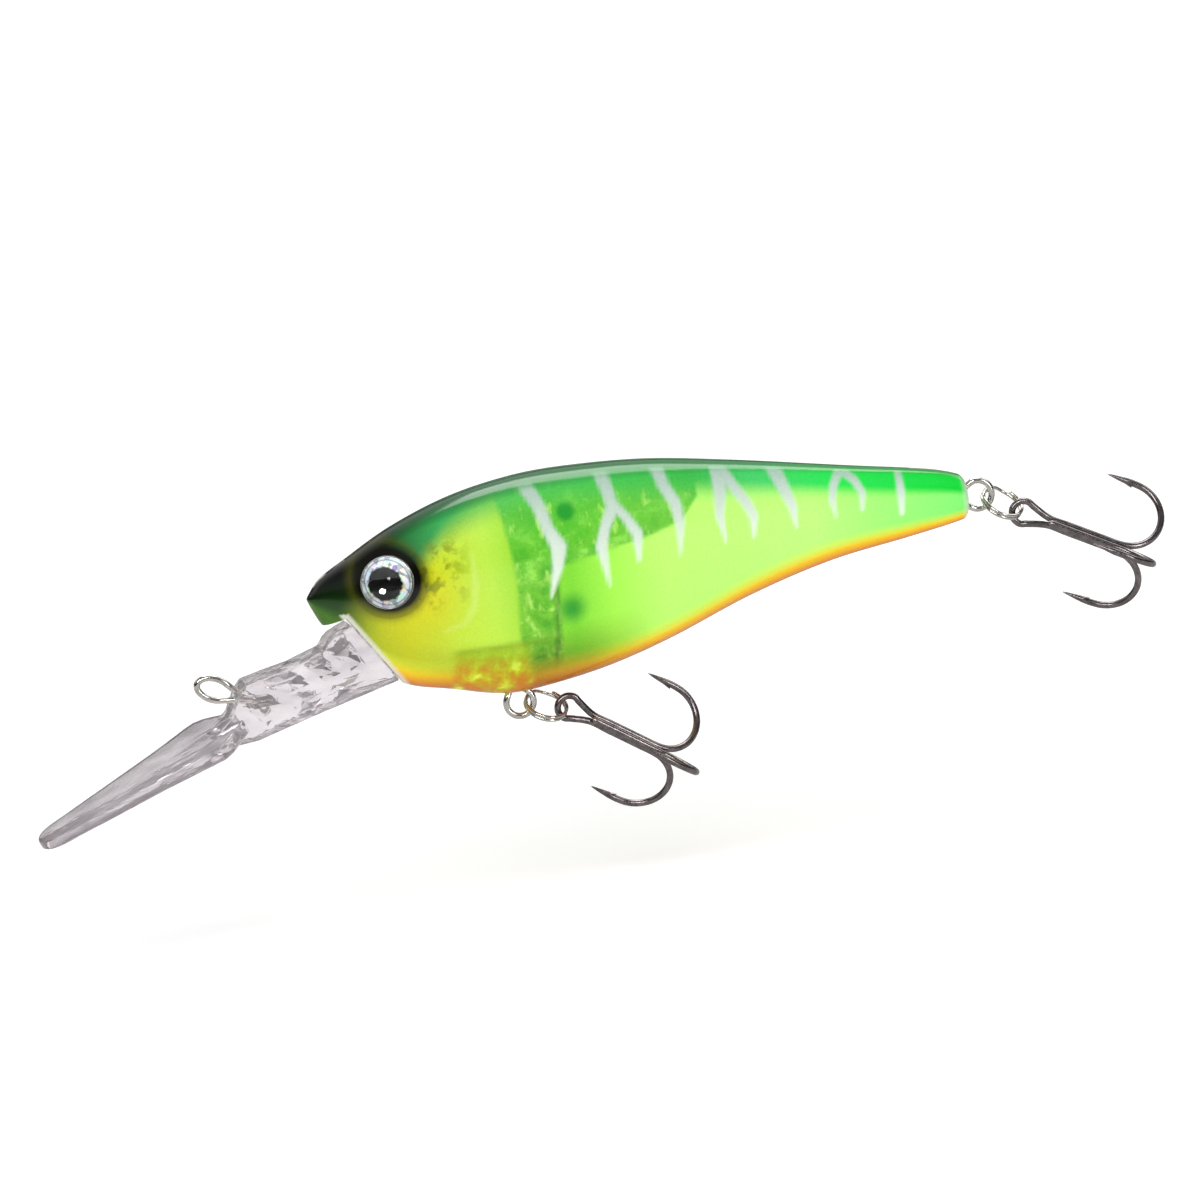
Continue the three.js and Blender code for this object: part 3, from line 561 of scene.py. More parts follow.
def paint_masks(x, z):
    """Every mask that the skin's paint reads, from places in the side view."""
    low, high = belly_at(x), back_at(x)
    up = np.clip((z - low) / (high - low), 0, 1)
    stripes = np.max([stroke_mask(x, z, stroke, STRIPE_SOFTNESS) for stroke in STRIPES], axis=0)
    leg_wall = ridge(x, LEG_REAR(z) + LEG_WALL["behind"], LEG_WALL["spread"])
    keel_wall = ridge(z, KEEL_WALL["z"], KEEL_WALL["spread"])
    cheek_distance = np.hypot(x - CHEEK["x"], z - CHEEK["z"])
    return {
        "along": x / BODY_LENGTH,
        "up": up,
        "belly": (z - low) / BELLY_BAND(x),
        "back": smoothstep(0, 1, (up - BACK_START(x)) / BACK_SPAN),
        "stripe": stripes * (1 - smoothstep(*STRIPE_TOP, up)),
        "chamber": chamber_mask(x, z),
        "leg_wall": leg_wall * (1 - smoothstep(*LEG_WALL["fade"], z)),
        "posts": np.max([spot(x, z, *post) for post in POST_SPOTS], axis=0),
        "halo": spot(x, z, HALO["x"], HALO["z"], HALO["black"], HALO["fade"]),
        "cheek": ridge(cheek_distance, 0, CHEEK["spread"]),
        "gill_highlight": stroke_mask(x, z, GILL_HIGHLIGHT, GILL_HIGHLIGHT_SOFTNESS),
        "mouth_edge": mouth_edge_mask(x, z),
        "head": 1 - smoothstep(DARK_HEAD["solid"], DARK_HEAD["faded"], x - DARK_HEAD["lean"] * (z - 2)),
        "keel_wall": window(x, KEEL_WALL["front"], KEEL_WALL["rear"]) * keel_wall,
        "keel": window(x, KEEL["front"], KEEL["rear"]) * (1 - smoothstep(*KEEL["top"], z)),
    }


def points_of(obj):
    """A mesh's vertices in millimetres from the nose tip."""
    co = np.zeros(len(obj.data.vertices) * 3, np.float32)
    obj.data.vertices.foreach_get("co", co)
    return (co.reshape(-1, 3).astype(float) - np.array(ORIGIN)) / MM


def add_masks(obj, masks):
    for name, values in masks.items():
        attribute = obj.data.attributes.new(name, "FLOAT", "POINT")
        attribute.data.foreach_set("value", np.asarray(values, np.float32))


def paint_shell(obj, body, materials, cad_node):
    """Gives a shell its masks, and its skin, bare rims and inner wall their own materials."""
    x, y, z = points_of(obj).T
    add_masks(obj, paint_masks(x, z))
    finish_piece(obj, body, materials, cad_node)
    fullness = (np.abs(y) / half_width_at(x)) ** SECTION_POWER + height_share(x, z) ** SECTION_POWER
    on_skin = (fullness > SKIN["fullness"]) | (x < SKIN["nose"]) | (x > BODY_LENGTH - SKIN["tail"])
    on_seam = np.abs(y) < SEAM_GAP / 2 + SKIN["seam"]
    for polygon in obj.data.polygons:
        corners = list(polygon.vertices)
        skin = on_skin[corners].all() and not on_seam[corners].all()
        polygon.material_index = 0 if skin else 1
    return obj


# ---------- materials ----------
def colour(code):
    """A linear colour from an sRGB hex code."""
    parts = [int(code[i:i + 2], 16) / 255 for i in (0, 2, 4)]
    return (*[p / 12.92 if p <= 0.04045 else ((p + 0.055) / 1.055) ** 2.4 for p in parts], 1)


def set_input(tree, socket, value):
    """Links a node's output to an input, or sets the input to a plain value."""
    if isinstance(value, bpy.types.NodeSocket):
        tree.links.new(value, socket)
    else:
        socket.default_value = value


def feed(shader, **inputs):
    """Fills a shader's inputs by name, with _ for each space."""
    for key, value in inputs.items():
        set_input(shader.id_data, shader.inputs[key.replace("_", " ")], value)


def material(name, **inputs):
    made = bpy.data.materials.new(name)
    made.use_nodes = True
    shader = made.node_tree.nodes["Principled BSDF"]
    feed(shader, **inputs)
    return made, made.node_tree, shader


# The node helpers below work in the tree of the socket that they are given (its id_data).
def node(tree, kind, inputs=None, **settings):
    made = tree.nodes.new(kind)
    for key, value in settings.items():
        setattr(made, key, value)
    for key, value in (inputs or {}).items():
        set_input(tree, made.inputs[key], value)
    return made


def mask(tree, name):
    return node(tree, "ShaderNodeAttribute", attribute_name=name).outputs["Fac"]


def ramp(factor, stops):
    """A colour ramp whose stops are [position, hex code or grey level]."""
    made = node(factor.id_data, "ShaderNodeValToRGB", {"Fac": factor})
    elements = made.color_ramp.elements
    while len(elements) < len(stops):
        elements.new(0.5)
    for element, (position, value) in zip(elements, stops):
        element.position = position
        element.color = colour(value) if isinstance(value, str) else (value, value, value, 1)
    return made.outputs["Color"]


def mix(factor, a, b, blend="MIX"):
    """Mixes b over a: each is a socket, a hex code or a colour, and at least one is a socket."""
    a, b = (colour(c) if isinstance(c, str) else c for c in (a, b))
    tree = (a if isinstance(a, bpy.types.NodeSocket) else b).id_data
    settings = {"data_type": "RGBA", "blend_type": blend, "clamp_factor": True}
    return node(tree, "ShaderNodeMix", {0: factor, 6: a, 7: b}, **settings).outputs[2]


def maths(operation, a, b=0.0, c=0.0):
    return node(a.id_data, "ShaderNodeMath", {0: a, 1: b, 2: c}, operation=operation).outputs[0]


def cover(base, mask_name, strength, paint):
    """Lays a paint over a base colour where the named mask is set."""
    return mix(maths("MULTIPLY", mask(base.id_data, mask_name), strength), base, paint)


def place(tree, stretch=(1, 1, 1)):
    """Object coordinates in millimetres, optionally stretched."""
    coordinates = node(tree, "ShaderNodeTexCoord").outputs["Object"]
    scale = [k / MM for k in stretch]
    return node(tree, "ShaderNodeMapping", {"Vector": coordinates, "Scale": scale}).outputs["Vector"]


def noise(vector, scale, detail=3.0, roughness=0.5):
    inputs = {"Vector": vector, "Scale": scale, "Detail": detail, "Roughness": roughness}
    return node(vector.id_data, "ShaderNodeTexNoise", inputs).outputs["Fac"]


def bump(height, strength, distance_mm):
    inputs = {"Height": height, "Strength": strength, "Distance": distance_mm * MM}
    return node(height.id_data, "ShaderNodeBump", inputs).outputs["Normal"]


def map_range(factor, low, high):
    inputs = {"Value": factor, "To Min": low, "To Max": high}
    return node(factor.id_data, "ShaderNodeMapRange", inputs).outputs["Result"]


def flank_paint(tree, along, up):
    """Chartreuse along the flank, yellower low down at the shoulder and on the cheek, with a painted
    highlight along the gill plate's edge.
    """
    flank = ramp(along, [
        (0.0, "708a1c"), (0.13, "bcc212"), (0.2, "bcd834"), (0.26, "b6e24a"), (0.31, "94d638"),
        (0.38, "7cd62c"), (0.44, "a2f048"), (0.52, "bcfc6e"), (0.76, "bcfc7c"), (0.86, "a0f874"),
        (1.0, "7cf070"),
    ])
    lower = mix(ramp(up, [(0.3, 1.0), (0.6, 0.0)]), flank, "c0e63c")
    flank = mix(ramp(along, [(0.18, 0.0), (0.24, 0.55), (0.36, 0.0)]), flank, lower)
    flank = cover(flank, "cheek", 0.85, "d3cc0c")
    # Painted highlight along the gill plate's edge.
    return cover(flank, "gill_highlight", 0.22, "dff3a4")


def chamber_paint(flank, up):
    """The darker ballast chamber, its rear wall and the locating posts, with painted glints: bright flecks
    that stand in for light caught inside it.
    """
    tree = flank.id_data
    mottle = noise(place(tree, (0.8, 0.5, 1)), 0.35, 4, 0.6)
    depth = ramp(mottle, [(0.36, "3c9c1c"), (0.46, "5fb524"), (0.54, "74bf34"), (0.63, "a2e858")])
    inside = mix(ramp(up, [(0.45, 0.0), (0.78, 0.7)]), depth, "44b838")
    flank = cover(flank, "chamber", 0.85, inside)
    # Painted glints: bright flecks over the chamber that stand in for light caught inside it.
    chamber_painted_glints = ramp(noise(place(tree, (1.3, 0.5, 0.7)), 0.5, 2, 0.5), [(0.57, 0.0), (0.68, 0.55)])
    flank = cover(flank, "chamber", chamber_painted_glints, "bff070")
    flank = cover(flank, "leg_wall", 0.8, "46861c")
    return cover(flank, "posts", 0.9, "0f9426")


def back_paint(body, along, up):
    """Green over the back, darker along the ridge, where a painted dark reflection lines the top edge."""
    back = ramp(along, [
        (0.03, "0e1c0a"), (0.12, "17401f"), (0.2, "35a050"), (0.3, "4cc060"), (0.45, "40c052"),
        (0.58, "3cb84a"), (0.68, "46cc68"), (0.8, "22e050"), (1.0, "0ad238"),
    ])
    body = mix(mask(body.id_data, "back"), body, back)
    # Painted dark reflection along the top edge of the back.
    ridge_dark_reflection = ramp(along, [(0.1, "0c2012"), (0.5, "175a30"), (1.0, "12782c")])
    return mix(ramp(up, [(0.93, 0.0), (0.995, 0.85)]), body, ridge_dark_reflection)


def belly_paint(body, along, up, at):
    """The orange belly, the shade at the shoulder and the mottled keel pocket, whose palest blobs are
    painted highlights.
    """
    belly = mask(body.id_data, "belly")
    orange = ramp(belly, [
        (0.0, "b8602a"), (0.14, "dc8820"), (0.3, "f0b012"), (0.48, "f4d414"), (0.8, "dcf03a"),
    ])
    body = mix(ramp(belly, [(0.42, 1.0), (0.95, 0.0)]), body, orange)
    shade_along = ramp(along, [(0.1, 0.0), (0.2, 0.5), (0.32, 1.0), (0.4, 0.8), (0.5, 0.0)])
    shade_low = ramp(up, [(0.12, 1.0), (0.3, 0.0)])
    body = mix(maths("MULTIPLY", shade_along, shade_low), body, "c0a828", "MULTIPLY")
    # Keel pocket mottling: orange and green blobs, the palest of them painted highlights on the weights seen
    # through the shell.
    keel_blobs_and_highlights = noise(at, 0.34, 3, 0.5)
    keel = ramp(keel_blobs_and_highlights, [(0.38, "c67606"), (0.48, "be9c04"), (0.56, "c2cc0e"), (0.63, "e4f048")])
    keel = mix(ramp(up, [(0.13, 0.0), (0.24, 0.8)]), keel, "86b404")
    body = cover(body, "keel", 0.8, keel)
    return cover(body, "keel_wall", 0.35, "6f8a04")


def head_paint(body, along, up, at):
    """The dark nose, freckles behind the eye and the black halo round it."""
    halo = mask(body.id_data, "halo")
    nose = ramp(up, [(0.3, "44701e"), (0.5, "1d4411"), (0.7, "0c2208"), (0.9, "060c07")])
    body = mix(mask(body.id_data, "head"), body, nose)
    freckles = ramp(noise(at, 0.45, 3, 0.6), [(0.48, 0.0), (0.6, 0.75)])
    behind_eye = ramp(along, [(0.13, 0.0), (0.16, 1.0), (0.2, 0.9), (0.24, 0.0)])
    above_cheek = ramp(up, [(0.45, 0.0), (0.6, 1.0), (0.8, 1.0), (0.88, 0.0)])
    freckles = maths("MULTIPLY", maths("MULTIPLY", freckles, behind_eye), above_cheek)
    body = mix(freckles, body, "6e7a06")
    body = mix(ramp(halo, [(0.0, 0.0), (0.5, 0.55), (1.0, 0.0)]), body, "4a4a02")
    return mix(ramp(halo, [(0.35, 0.0), (0.95, 1.0)]), body, "070602")


def skin_material():
    """Airbrushed green over chartreuse with an orange belly, under a glossy clear coat."""
    made, tree, shader = material("painted_shell", IOR=1.5)
    at, along, up = place(tree), mask(tree, "along"), mask(tree, "up")
    body = chamber_paint(flank_paint(tree, along, up), up)
    body = back_paint(body, along, up)
    body = belly_paint(body, along, up, at)
    body = head_paint(body, along, up, at)
    body = cover(body, "mouth_edge", 0.75, "dcdccb")
    # Painted highlight: the rounded tail end is lightened towards pale green-white.
    body = mix(ramp(along, [(0.988, 0.0), (0.999, 0.75)]), body, "e2f4dc")
    stripe_colour = ramp(up, [(0.45, "e6f2e2"), (0.7, "d2dfd6"), (0.92, "b2c6bc")])
    body = cover(body, "stripe", 0.93, stripe_colour)
    speckle = noise(at, 3.0, 2, 0.7)
    body = mix(0.12, body, ramp(speckle, [(0.3, 0.25), (0.7, 0.9)]), "OVERLAY")
    feed(
        shader, Base_Color=body, Roughness=map_range(noise(at, 0.5, 5, 0.6), 0.26, 0.42),
        Normal=bump(speckle, 0.12, 0.02), Specular_IOR_Level=0.0,
        Coat_Weight=1.0, Coat_Roughness=0.15, Coat_Normal=bump(noise(at, 0.16, 2, 0.4), 0.25, 0.12),
        Subsurface_Weight=0.12, Subsurface_Scale=1.2 * MM, Subsurface_Radius=(0.8, 1.0, 0.4),
    )
    return made


def bare_plastic_material():
    """Unpainted shell plastic on the cut rims and the inside."""
    made, tree, shader = material("bare_shell_plastic", Roughness=0.2, IOR=1.5, Coat_Weight=0.6)
    cloud = noise(place(tree), 0.6)
    tone = ramp(cloud, [(0.35, "d9dfc2"), (0.65, "eef0e0")])
    feed(shader, Base_Color=tone, Normal=bump(cloud, 0.2, 0.05))
    return made


def let_lamps_through(tree, shader, tint):
    """Lets light through to what lies behind, so that a clear piece casts a faint shadow."""
    light_path = node(tree, "ShaderNodeLightPath").outputs["Is Shadow Ray"]
    clear = node(tree, "ShaderNodeBsdfTransparent", {"Color": colour(tint)}).outputs[0]
    mixed = node(tree, "ShaderNodeMixShader", {0: light_path, 1: shader.outputs[0], 2: clear})
    tree.links.new(mixed.outputs[0], tree.nodes["Material Output"].inputs["Surface"])


def lip_material():
    """Polycarbonate that is clear but milky, faintly lavender, with flow marks and fine scuffs."""
    made, tree, shader = material("clear_polycarbonate", IOR=1.56, Transmission_Weight=0.84)
    reach = mask(tree, "lip_reach")
    flow = noise(place(tree, (0.5, 1, 1.4)), 0.22, 2, 0.4)
    tone = ramp(flow, [(0.3, "cdc5cb"), (0.45, "e3dce0"), (0.58, "efeaed"), (0.75, "dbd1d6")])
    tone = mix(ramp(reach, [(0.0, 0.0), (0.95, 0.0), (0.99, 0.5)]), tone, "b8aaa4")
    scuffs = noise(place(tree, (0.15, 1.2, 0.4)), 1.6, 5, 0.65)
    cells = {"Vector": place(tree, (1, 1, 1.3)), "Scale": 0.35}
    facets = node(tree, "ShaderNodeTexVoronoi", cells, distance="CHEBYCHEV").outputs["Distance"]
    broken = maths("MULTIPLY", facets, ramp(reach, [(0.3, 1.0), (0.52, 0.08)]))
    waves = maths("ADD", maths("MULTIPLY", flow, 0.6), maths("MULTIPLY", broken, 0.5))
    feed(shader, Base_Color=tone, Roughness=map_range(scuffs, 0.01, 0.1), Normal=bump(waves, 0.6, 0.8))
    let_lamps_through(tree, shader, "dedade")
    return made


def lens_material():
    """Clear domed resin with a mirror-smooth front."""
    made, tree, shader = material("clear_lens", IOR=1.5, Transmission_Weight=1.0)
    dust = noise(place(tree), 2.0)
    tone = ramp(dust, [(0.3, "f4f8fa"), (0.7, "ffffff")])
    feed(shader, Base_Color=tone, Roughness=map_range(dust, 0.0, 0.03))
    let_lamps_through(tree, shader, "f4f6f8")
    return made


def foil_material():
    """Silver holographic iris round a printed black pupil."""
    made, tree, shader = material("holographic_foil")
    radius, pupil = mask(tree, "eye_radius"), mask(tree, "pupil")
    cells = node(tree, "ShaderNodeTexVoronoi", {"Vector": place(tree), "Scale": 1.5}).outputs["Color"]
    hue_shift, tinted, bright = node(tree, "ShaderNodeSeparateColor", {"Color": cells}).outputs
    wheel = maths("FRACT", maths("ADD", maths("MULTIPLY", mask(tree, "eye_turn"), 2.0), hue_shift))
    hsv = {0: wheel, 1: 0.6, 2: 0.95}
    rainbow = node(tree, "ShaderNodeCombineColor", hsv, mode="HSV").outputs[0]
    inner = ramp(maths("DIVIDE", radius, EYE["radius"]), [(0.66, 1.0), (0.84, 0.35)])
    amount = maths("MULTIPLY", ramp(tinted, [(0.35, 0.08), (0.75, 0.85)]), inner)
    silver = mix(amount, "d9dde2", rainbow)
    silver = mix(0.8, silver, ramp(bright, [(0.2, 0.3), (0.55, 1.0)]), "MULTIPLY")
    groove = ramp(maths("DIVIDE", radius, EYE["radius"]), [
        (0.0, 0.0), (0.78, 0.0), (0.82, 0.75), (0.86, 0.0), (0.92, 0.0), (0.98, 0.95),
    ])
    silver = mix(groove, silver, "4a4e54")
    feed(
        shader, Base_Color=mix(pupil, silver, "030202"), Normal=bump(hue_shift, 0.25, 0.05),
        Metallic=maths("MULTIPLY_ADD", pupil, -0.55, 0.55), Roughness=map_range(bright, 0.3, 0.6),
        Specular_IOR_Level=maths("MULTIPLY_ADD", pupil, -0.45, 0.5),
    )
    return made


def wire_material(name, dark, light, roughness, streak):
    """Drawn and plated wire: fine lengthwise streaks, cloudy plating, and lighter where the wire curves most
    sharply.
    """
    made, tree, shader = material(name, Metallic=1.0)
    base = ramp(noise(place(tree), 0.9, 4, 0.6), [(0.32, dark), (0.7, light)])
    edges = node(tree, "ShaderNodeNewGeometry").outputs["Pointiness"]
    base = mix(ramp(edges, [(0.52, 0.0), (0.62, 0.6)]), base, "c9c4bd")
    streaks = noise(place(tree, (0.4, 2.5, 2.5)), 4.0, 3, 0.6)
    shine = map_range(streaks, roughness * 0.6, roughness * 1.5)
    feed(shader, Base_Color=base, Roughness=shine, Normal=bump(streaks, streak, 0.03))
    return made


def lead_material():
    """Dull cast lead with a coarse grain."""
    made, tree, shader = material("cast_lead", Metallic=0.7)
    grain = noise(place(tree), 1.4, 5, 0.65)
    tone = ramp(grain, [(0.3, "55555a"), (0.7, "8d8d90")])
    feed(shader, Base_Color=tone, Roughness=map_range(grain, 0.45, 0.8), Normal=bump(grain, 0.4, 0.1))
    return made


# ---------- eyes ----------
def foil_disc(name, side):
    """The printed foil: a thin disc with fine rings, carrying the iris and pupil masks."""
    floor, top = EYE["foil_floor"], EYE["foil_floor"] + EYE["foil"]
    edge = EYE["radius"] - 0.02
    rings = [(edge * k / 24, top) for k in range(24, 0, -1)]
    rim = [(edge - 0.05, floor), (edge, floor + 0.06), (edge, top - 0.06)]
    profile = [(0, floor), *rim, *rings[1:], (0, top)]
    frame_of_eye = eye_frame(side)
    made = lathe(name, profile, frame_of_eye, segments=128)
    local = [frame_of_eye.inverted() @ Vector(p) for p in points_of(made)]
    across, upward = eye_axes(frame_of_eye)
    u = np.array([p.dot(across) for p in local])
    v = np.array([p.dot(upward) for p in local])
    ragged = 0.06 * np.sin(7 * np.arctan2(v, u)) + 0.05 * np.sin(17 * np.arctan2(v, u) + 1)
    pupil_offset = np.hypot(u + EYE["pupil_ahead"], v + EYE["pupil_drop"]) + ragged
    add_masks(made, {
        "eye_radius": np.hypot(u, v),
        "eye_turn": np.arctan2(v, u) / (2 * math.pi) + 0.5,
        "pupil": 1 - smoothstep(EYE["pupil"] - 0.08, EYE["pupil"] + 0.08, pupil_offset),
    })
    return made


def eye_axes(frame_of_eye):
    """The directions towards the tail and the back, in the eye's own frame."""
    inverse = frame_of_eye.to_3x3().inverted()
    flat = []
    for direction in ((1, 0, 0), (0, 0, 1)):
        local = inverse @ Vector(direction)
        flat.append((local - Vector((0, local.y, 0))).normalized())
    return flat


def lens_dome(name, side):
    """A plano-convex lens with a softened rim."""
    base, radius = EYE["lens_base"], EYE["radius"]
    rim_top = base + EYE["rim"]
    crown = [
        (radius * math.cos(a), rim_top + (EYE["crown"] - rim_top) * math.sin(a))
        for a in np.linspace(0, math.pi / 2, 22)[:-1]
    ]
    profile = [(0, base), (radius - 0.08, base), (radius, base + 0.08), *crown, (0, EYE["crown"])]
    return lathe(name, profile, eye_frame(side), segments=128, smooth_angle=50)


# ---------- lip ----------
def lip_point(s, n, y=0.0):
    return in_plane(*LIP_ORIGIN) + LIP_AXIS * float(s) + LIP_NORMAL * float(n) + Vector((0, y, 0))


def lip_outline(profile):
    return [(p.x, p.z) for p in (lip_point(s, n) for s, n in profile)]


def blade_outline():
    """The blade's plan as [s, y]: a smooth edge on each side and a rounded tip."""
    edge_s, edge_y = np.array(BLADE_PLAN).T
    shoulder = [point for point in BLADE_PLAN if point[0] < BLADE_FLANK["from"]]
    flank_s = np.linspace(BLADE_FLANK["from"], BLADE_FLANK["to"], BLADE_FLANK["steps"])
    flank = [(s, float(y)) for s, y in zip(flank_s, np.interp(flank_s, edge_s, edge_y))]
    tip = []
    for i in range(BLADE_TIP["steps"]):
        turn = math.pi * (i + 0.5) / BLADE_TIP["steps"]
        ahead = BLADE_TIP["reach"] * math.sin(turn) ** BLADE_TIP["bluntness"]
        tip.append((BLADE_TIP["s"] + ahead, BLADE_TIP["half_width"] * math.cos(turn)))
    side = [*shoulder, *flank]
    return [*side, *tip, *[(s, -y) for s, y in reversed(side)]]


def blade_top(s):
    """The height of the blade's upper face, which thins towards the tip."""
    root, tip = BLADE_THICKNESS["root"], BLADE_THICKNESS["tip"]
    start, end = BLADE_THICKNESS["taper_from"], BLADE_THICKNESS["taper_to"]
    return BLADE_UNDERSIDE + root + (tip - root) * min(max((s - start) / (end - start), 0), 1)


def lip_moulding(name):
    """Blade, neck and tongue in one clear piece."""
    plan = blade_outline()
    points = [lip_point(s, BLADE_UNDERSIDE, y) for s, y in plan]
    points += [lip_point(s, blade_top(s), y) for s, y in plan]
    made = make_object(name, points, prism_faces(len(plan)))
    round_edges(made, 0.3, angle=40)
    neck = across_body("neck", lip_outline(NECK_PROFILE), NECK_HALF_WIDTH, bevel=0.35)
    combine(made, neck, "UNION")
    tongue = [
        (TONGUE["back"], TONGUE["low"]), (TONGUE["front"], TONGUE["low"]),
        (TONGUE["front"], TONGUE["high"]), (TONGUE["back"], TONGUE["high"]),
    ]
    combine(made, across_body("tongue", lip_outline(tongue), TONGUE["half_width"], bevel=0.25), "UNION")
    for side in (-1, 1):
        for base in NECK_POCKETS:
            combine(made, neck_pocket(base, side), "DIFFERENCE")
    shade(made, 28)
    origin = np.array(lip_point(0, 0))
    reach = (points_of(made) - origin) @ np.array(LIP_AXIS)
    add_masks(made, {"lip_reach": reach / (BLADE_TIP["s"] + BLADE_TIP["reach"])})
    return made


def neck_pocket(base, side):
    """A pyramid that cuts one facet, its base just outside the neck."""
    centre = np.mean(base, axis=0)
    outer = NECK_HALF_WIDTH + POCKET["outside"]
    floor = NECK_HALF_WIDTH - POCKET["depth"]
    grown = [centre + POCKET["spread"] * (np.array(p) - centre) for p in base]
    points = [lip_point(s, n, side * outer) for s, n in grown]
    points.append(lip_point(centre[0], centre[1], side * floor))
    count = len(base)
    faces = [list(range(count))] + [[i, (i + 1) % count, count] for i in range(count)]
    return make_object("pocket", points, faces)


# ---------- wire fittings ----------
def figure_eight(ru, rv, inner, span, end_gap):
    """A wire with an outer eye round the origin and an inner one further up the local v axis."""
    def arc(v, radius_u, radius_v, start, end):
        steps = math.ceil(abs(end - start) / 30)
        turns = (math.radians(start + (end - start) * i / steps) for i in range(steps + 1))
        return [Vector((radius_u * math.cos(t), v + radius_v * math.sin(t), 0)) for t in turns]

    crossing = (span - inner + rv) / 2
    outward = [
        *arc(span, inner, inner, 90 - end_gap, -40), Vector((0, crossing, CROSSING_OFFSET)),
        *arc(0, ru, rv, 140, 270),
    ]
    homeward = [
        *arc(0, ru, rv, 270, 400), Vector((0, crossing, -CROSSING_OFFSET)),
        *arc(span, inner, inner, 220, 90 + end_gap),
    ]
    return [*outward, *homeward[1:]]


def eye_wire(name, centre, tilt, **sizes):
    """A figure-eight eye standing in the seam plane, its outer eye at the centre."""
    back = math.radians(tilt) + math.pi
    along = Vector((math.cos(back), 0, math.sin(back)))
    across = Vector((math.sin(back), 0, -math.cos(back)))
    path = catmull_rom([
        in_plane(*centre) + Vector((0, p.z, 0)) + p.x * across + p.y * along
        for p in figure_eight(end_gap=WIRE_END_GAP, **sizes)
    ], 6)
    return sweep(name, path, rounded_ends(path, HANGER_WIRE), sides=18)


def line_tie(name):
    """The eye that the line is tied to, leaning forward out of the neck."""
    centre = lip_point(LINE_TIE_AT["s"], LINE_TIE_AT["n"])
    tilt = 180 + math.degrees(LIP_ANGLE) - LINE_TIE_AT["rise"]
    return eye_wire(name, (centre.x, centre.z), tilt, **LINE_TIE)


# ---------- split rings and hooks ----------
def turned(axis, degrees):
    return Matrix.Rotation(math.radians(degrees), 4, axis)


def along_x(distance):
    return Matrix.Translation((distance, 0, 0))


def ring_frame(name):
    """The split ring's own frame: hung from the joint's pivot, its axis twisted about its line."""
    pivot = (Vector(joint(name + "_ring_swing")["pos_m"]) - ORIGIN) / MM
    hung = Matrix.Translation(pivot) @ turned("Y", HANGING[name]["ring_pitch"])
    return hung @ along_x(RING["seat"] + RING["radius"]) @ turned("X", RING["twist"])


def hook_frame(name):
    """The treble's own frame: its eye's centre at the origin, its shanks along X."""
    set_by = HANGING[name]
    untwisted = along_x(RING["radius"] + HOOK["eye_seat"]) @ turned("X", -RING["twist"])
    pitched = turned("Y", set_by["hook_pitch"] - set_by["ring_pitch"])
    return ring_frame(name) @ turned("Z", set_by["sway"]) @ untwisted @ pitched


def split_ring(name, matrix):
    """Two flat turns of wire with one step between them."""
    points = []
    for angle in np.arange(RING["start"], RING["end"] + 1, 5):
        height = RING["pitch"] * (smoothstep(RING["step_from"], RING["step_to"], angle) - 0.5)
        turn = math.radians(angle + RING["step_place"])
        around = RING["radius"] * Vector((math.cos(turn), math.sin(turn), 0))
        points.append(matrix @ (around + Vector((0, 0, height))))
    path = np.array(points)
    return sweep(name, path, rounded_ends(path, RING["wire"], 0.08), sides=16)


def hook_point(a, b, turn):
    return Vector((a, b * math.cos(math.radians(turn)), b * math.sin(math.radians(turn))))


def tine_path(turn):
    """From the shank round the bend to the point's tip, in the half plane at turn round the axis."""
    middle = (HOOK["shank_offset"] + HOOK["point_offset"]) / 2
    half = (HOOK["point_offset"] - HOOK["shank_offset"]) / 2
    bend = [
        hook_point(HOOK["bend_centre"] + HOOK["bend_reach"] * math.cos(a), middle + half * math.sin(a), turn)
        for a in np.linspace(-math.pi / 2, math.pi / 2, 11)
    ]
    shank = [hook_point(a, HOOK["shank_offset"], turn) for a in SHANK_RUN]
    point = [hook_point(a, HOOK["point_offset"], turn) for a in POINT_RUN]
    return [*shank, *bend, *point]


def tapered(path, wire, both_ends):
    """Radii of a hook's wire: full, then drawn down to a needle over the last stretch."""
    steps = np.linalg.norm(np.diff(path, axis=0), axis=1)
    along = np.concatenate(([0], np.cumsum(steps)))
    to_tip = along[-1] - along
    if both_ends:
        to_tip = np.minimum(to_tip, along)
    reach = HOOK["cone_base"] - HOOK["tip"]
    needle = NEEDLE_RADIUS + (wire - NEEDLE_RADIUS) * np.clip(to_tip / reach, 0, 1) ** 0.72
    if both_ends:
        return needle
    return np.minimum(needle, wire - 0.25 * np.clip(1 - along / 0.3, 0, 1) ** 2)


def barb(turn, matrix):
    """A sliver of wire raised towards the shank, pointing back round the bend."""
    size = HOOK["barb"]
    edge = HOOK["point_offset"]
    profile = [
        (size["at"] - size["length"], edge - 0.3), (size["at"] - 0.5 * size["length"], edge - 0.52),
        (size["at"] - 0.12, edge - size["height"]), (size["at"], edge - size["height"] + 0.03),
        (size["at"] - size["root"], edge - 0.2),
    ]
    half = size["thickness"] / 2
    spin = turned("X", turn)
    points = []
    for k in (-1, 1):
        for i, (a, b) in enumerate(profile):
            width = half * (0.35 if i in (2, 3) else 1.0)
            points.append(matrix @ spin @ Vector((a, b, k * width)))
    return make_object("barb", points, prism_faces(len(profile)))


def braze(matrix):
    """The fillet of solder that fills the grooves between the shanks."""
    length = np.linspace(BRAZE["from"], BRAZE["to"], BRAZE["steps"])
    swell = np.sin(np.linspace(0, math.pi, BRAZE["steps"])) ** 0.35
    lumps = 0.03 * np.sin(length * 2.3) + 0.02 * np.sin(length * 5.1)
    path = [matrix @ Vector((a, 0.05 * math.sin(a), 0)) for a in length]
    return sweep("braze", path, BRAZE["core"] + (BRAZE["swell"] + lumps) * swell, sides=18)


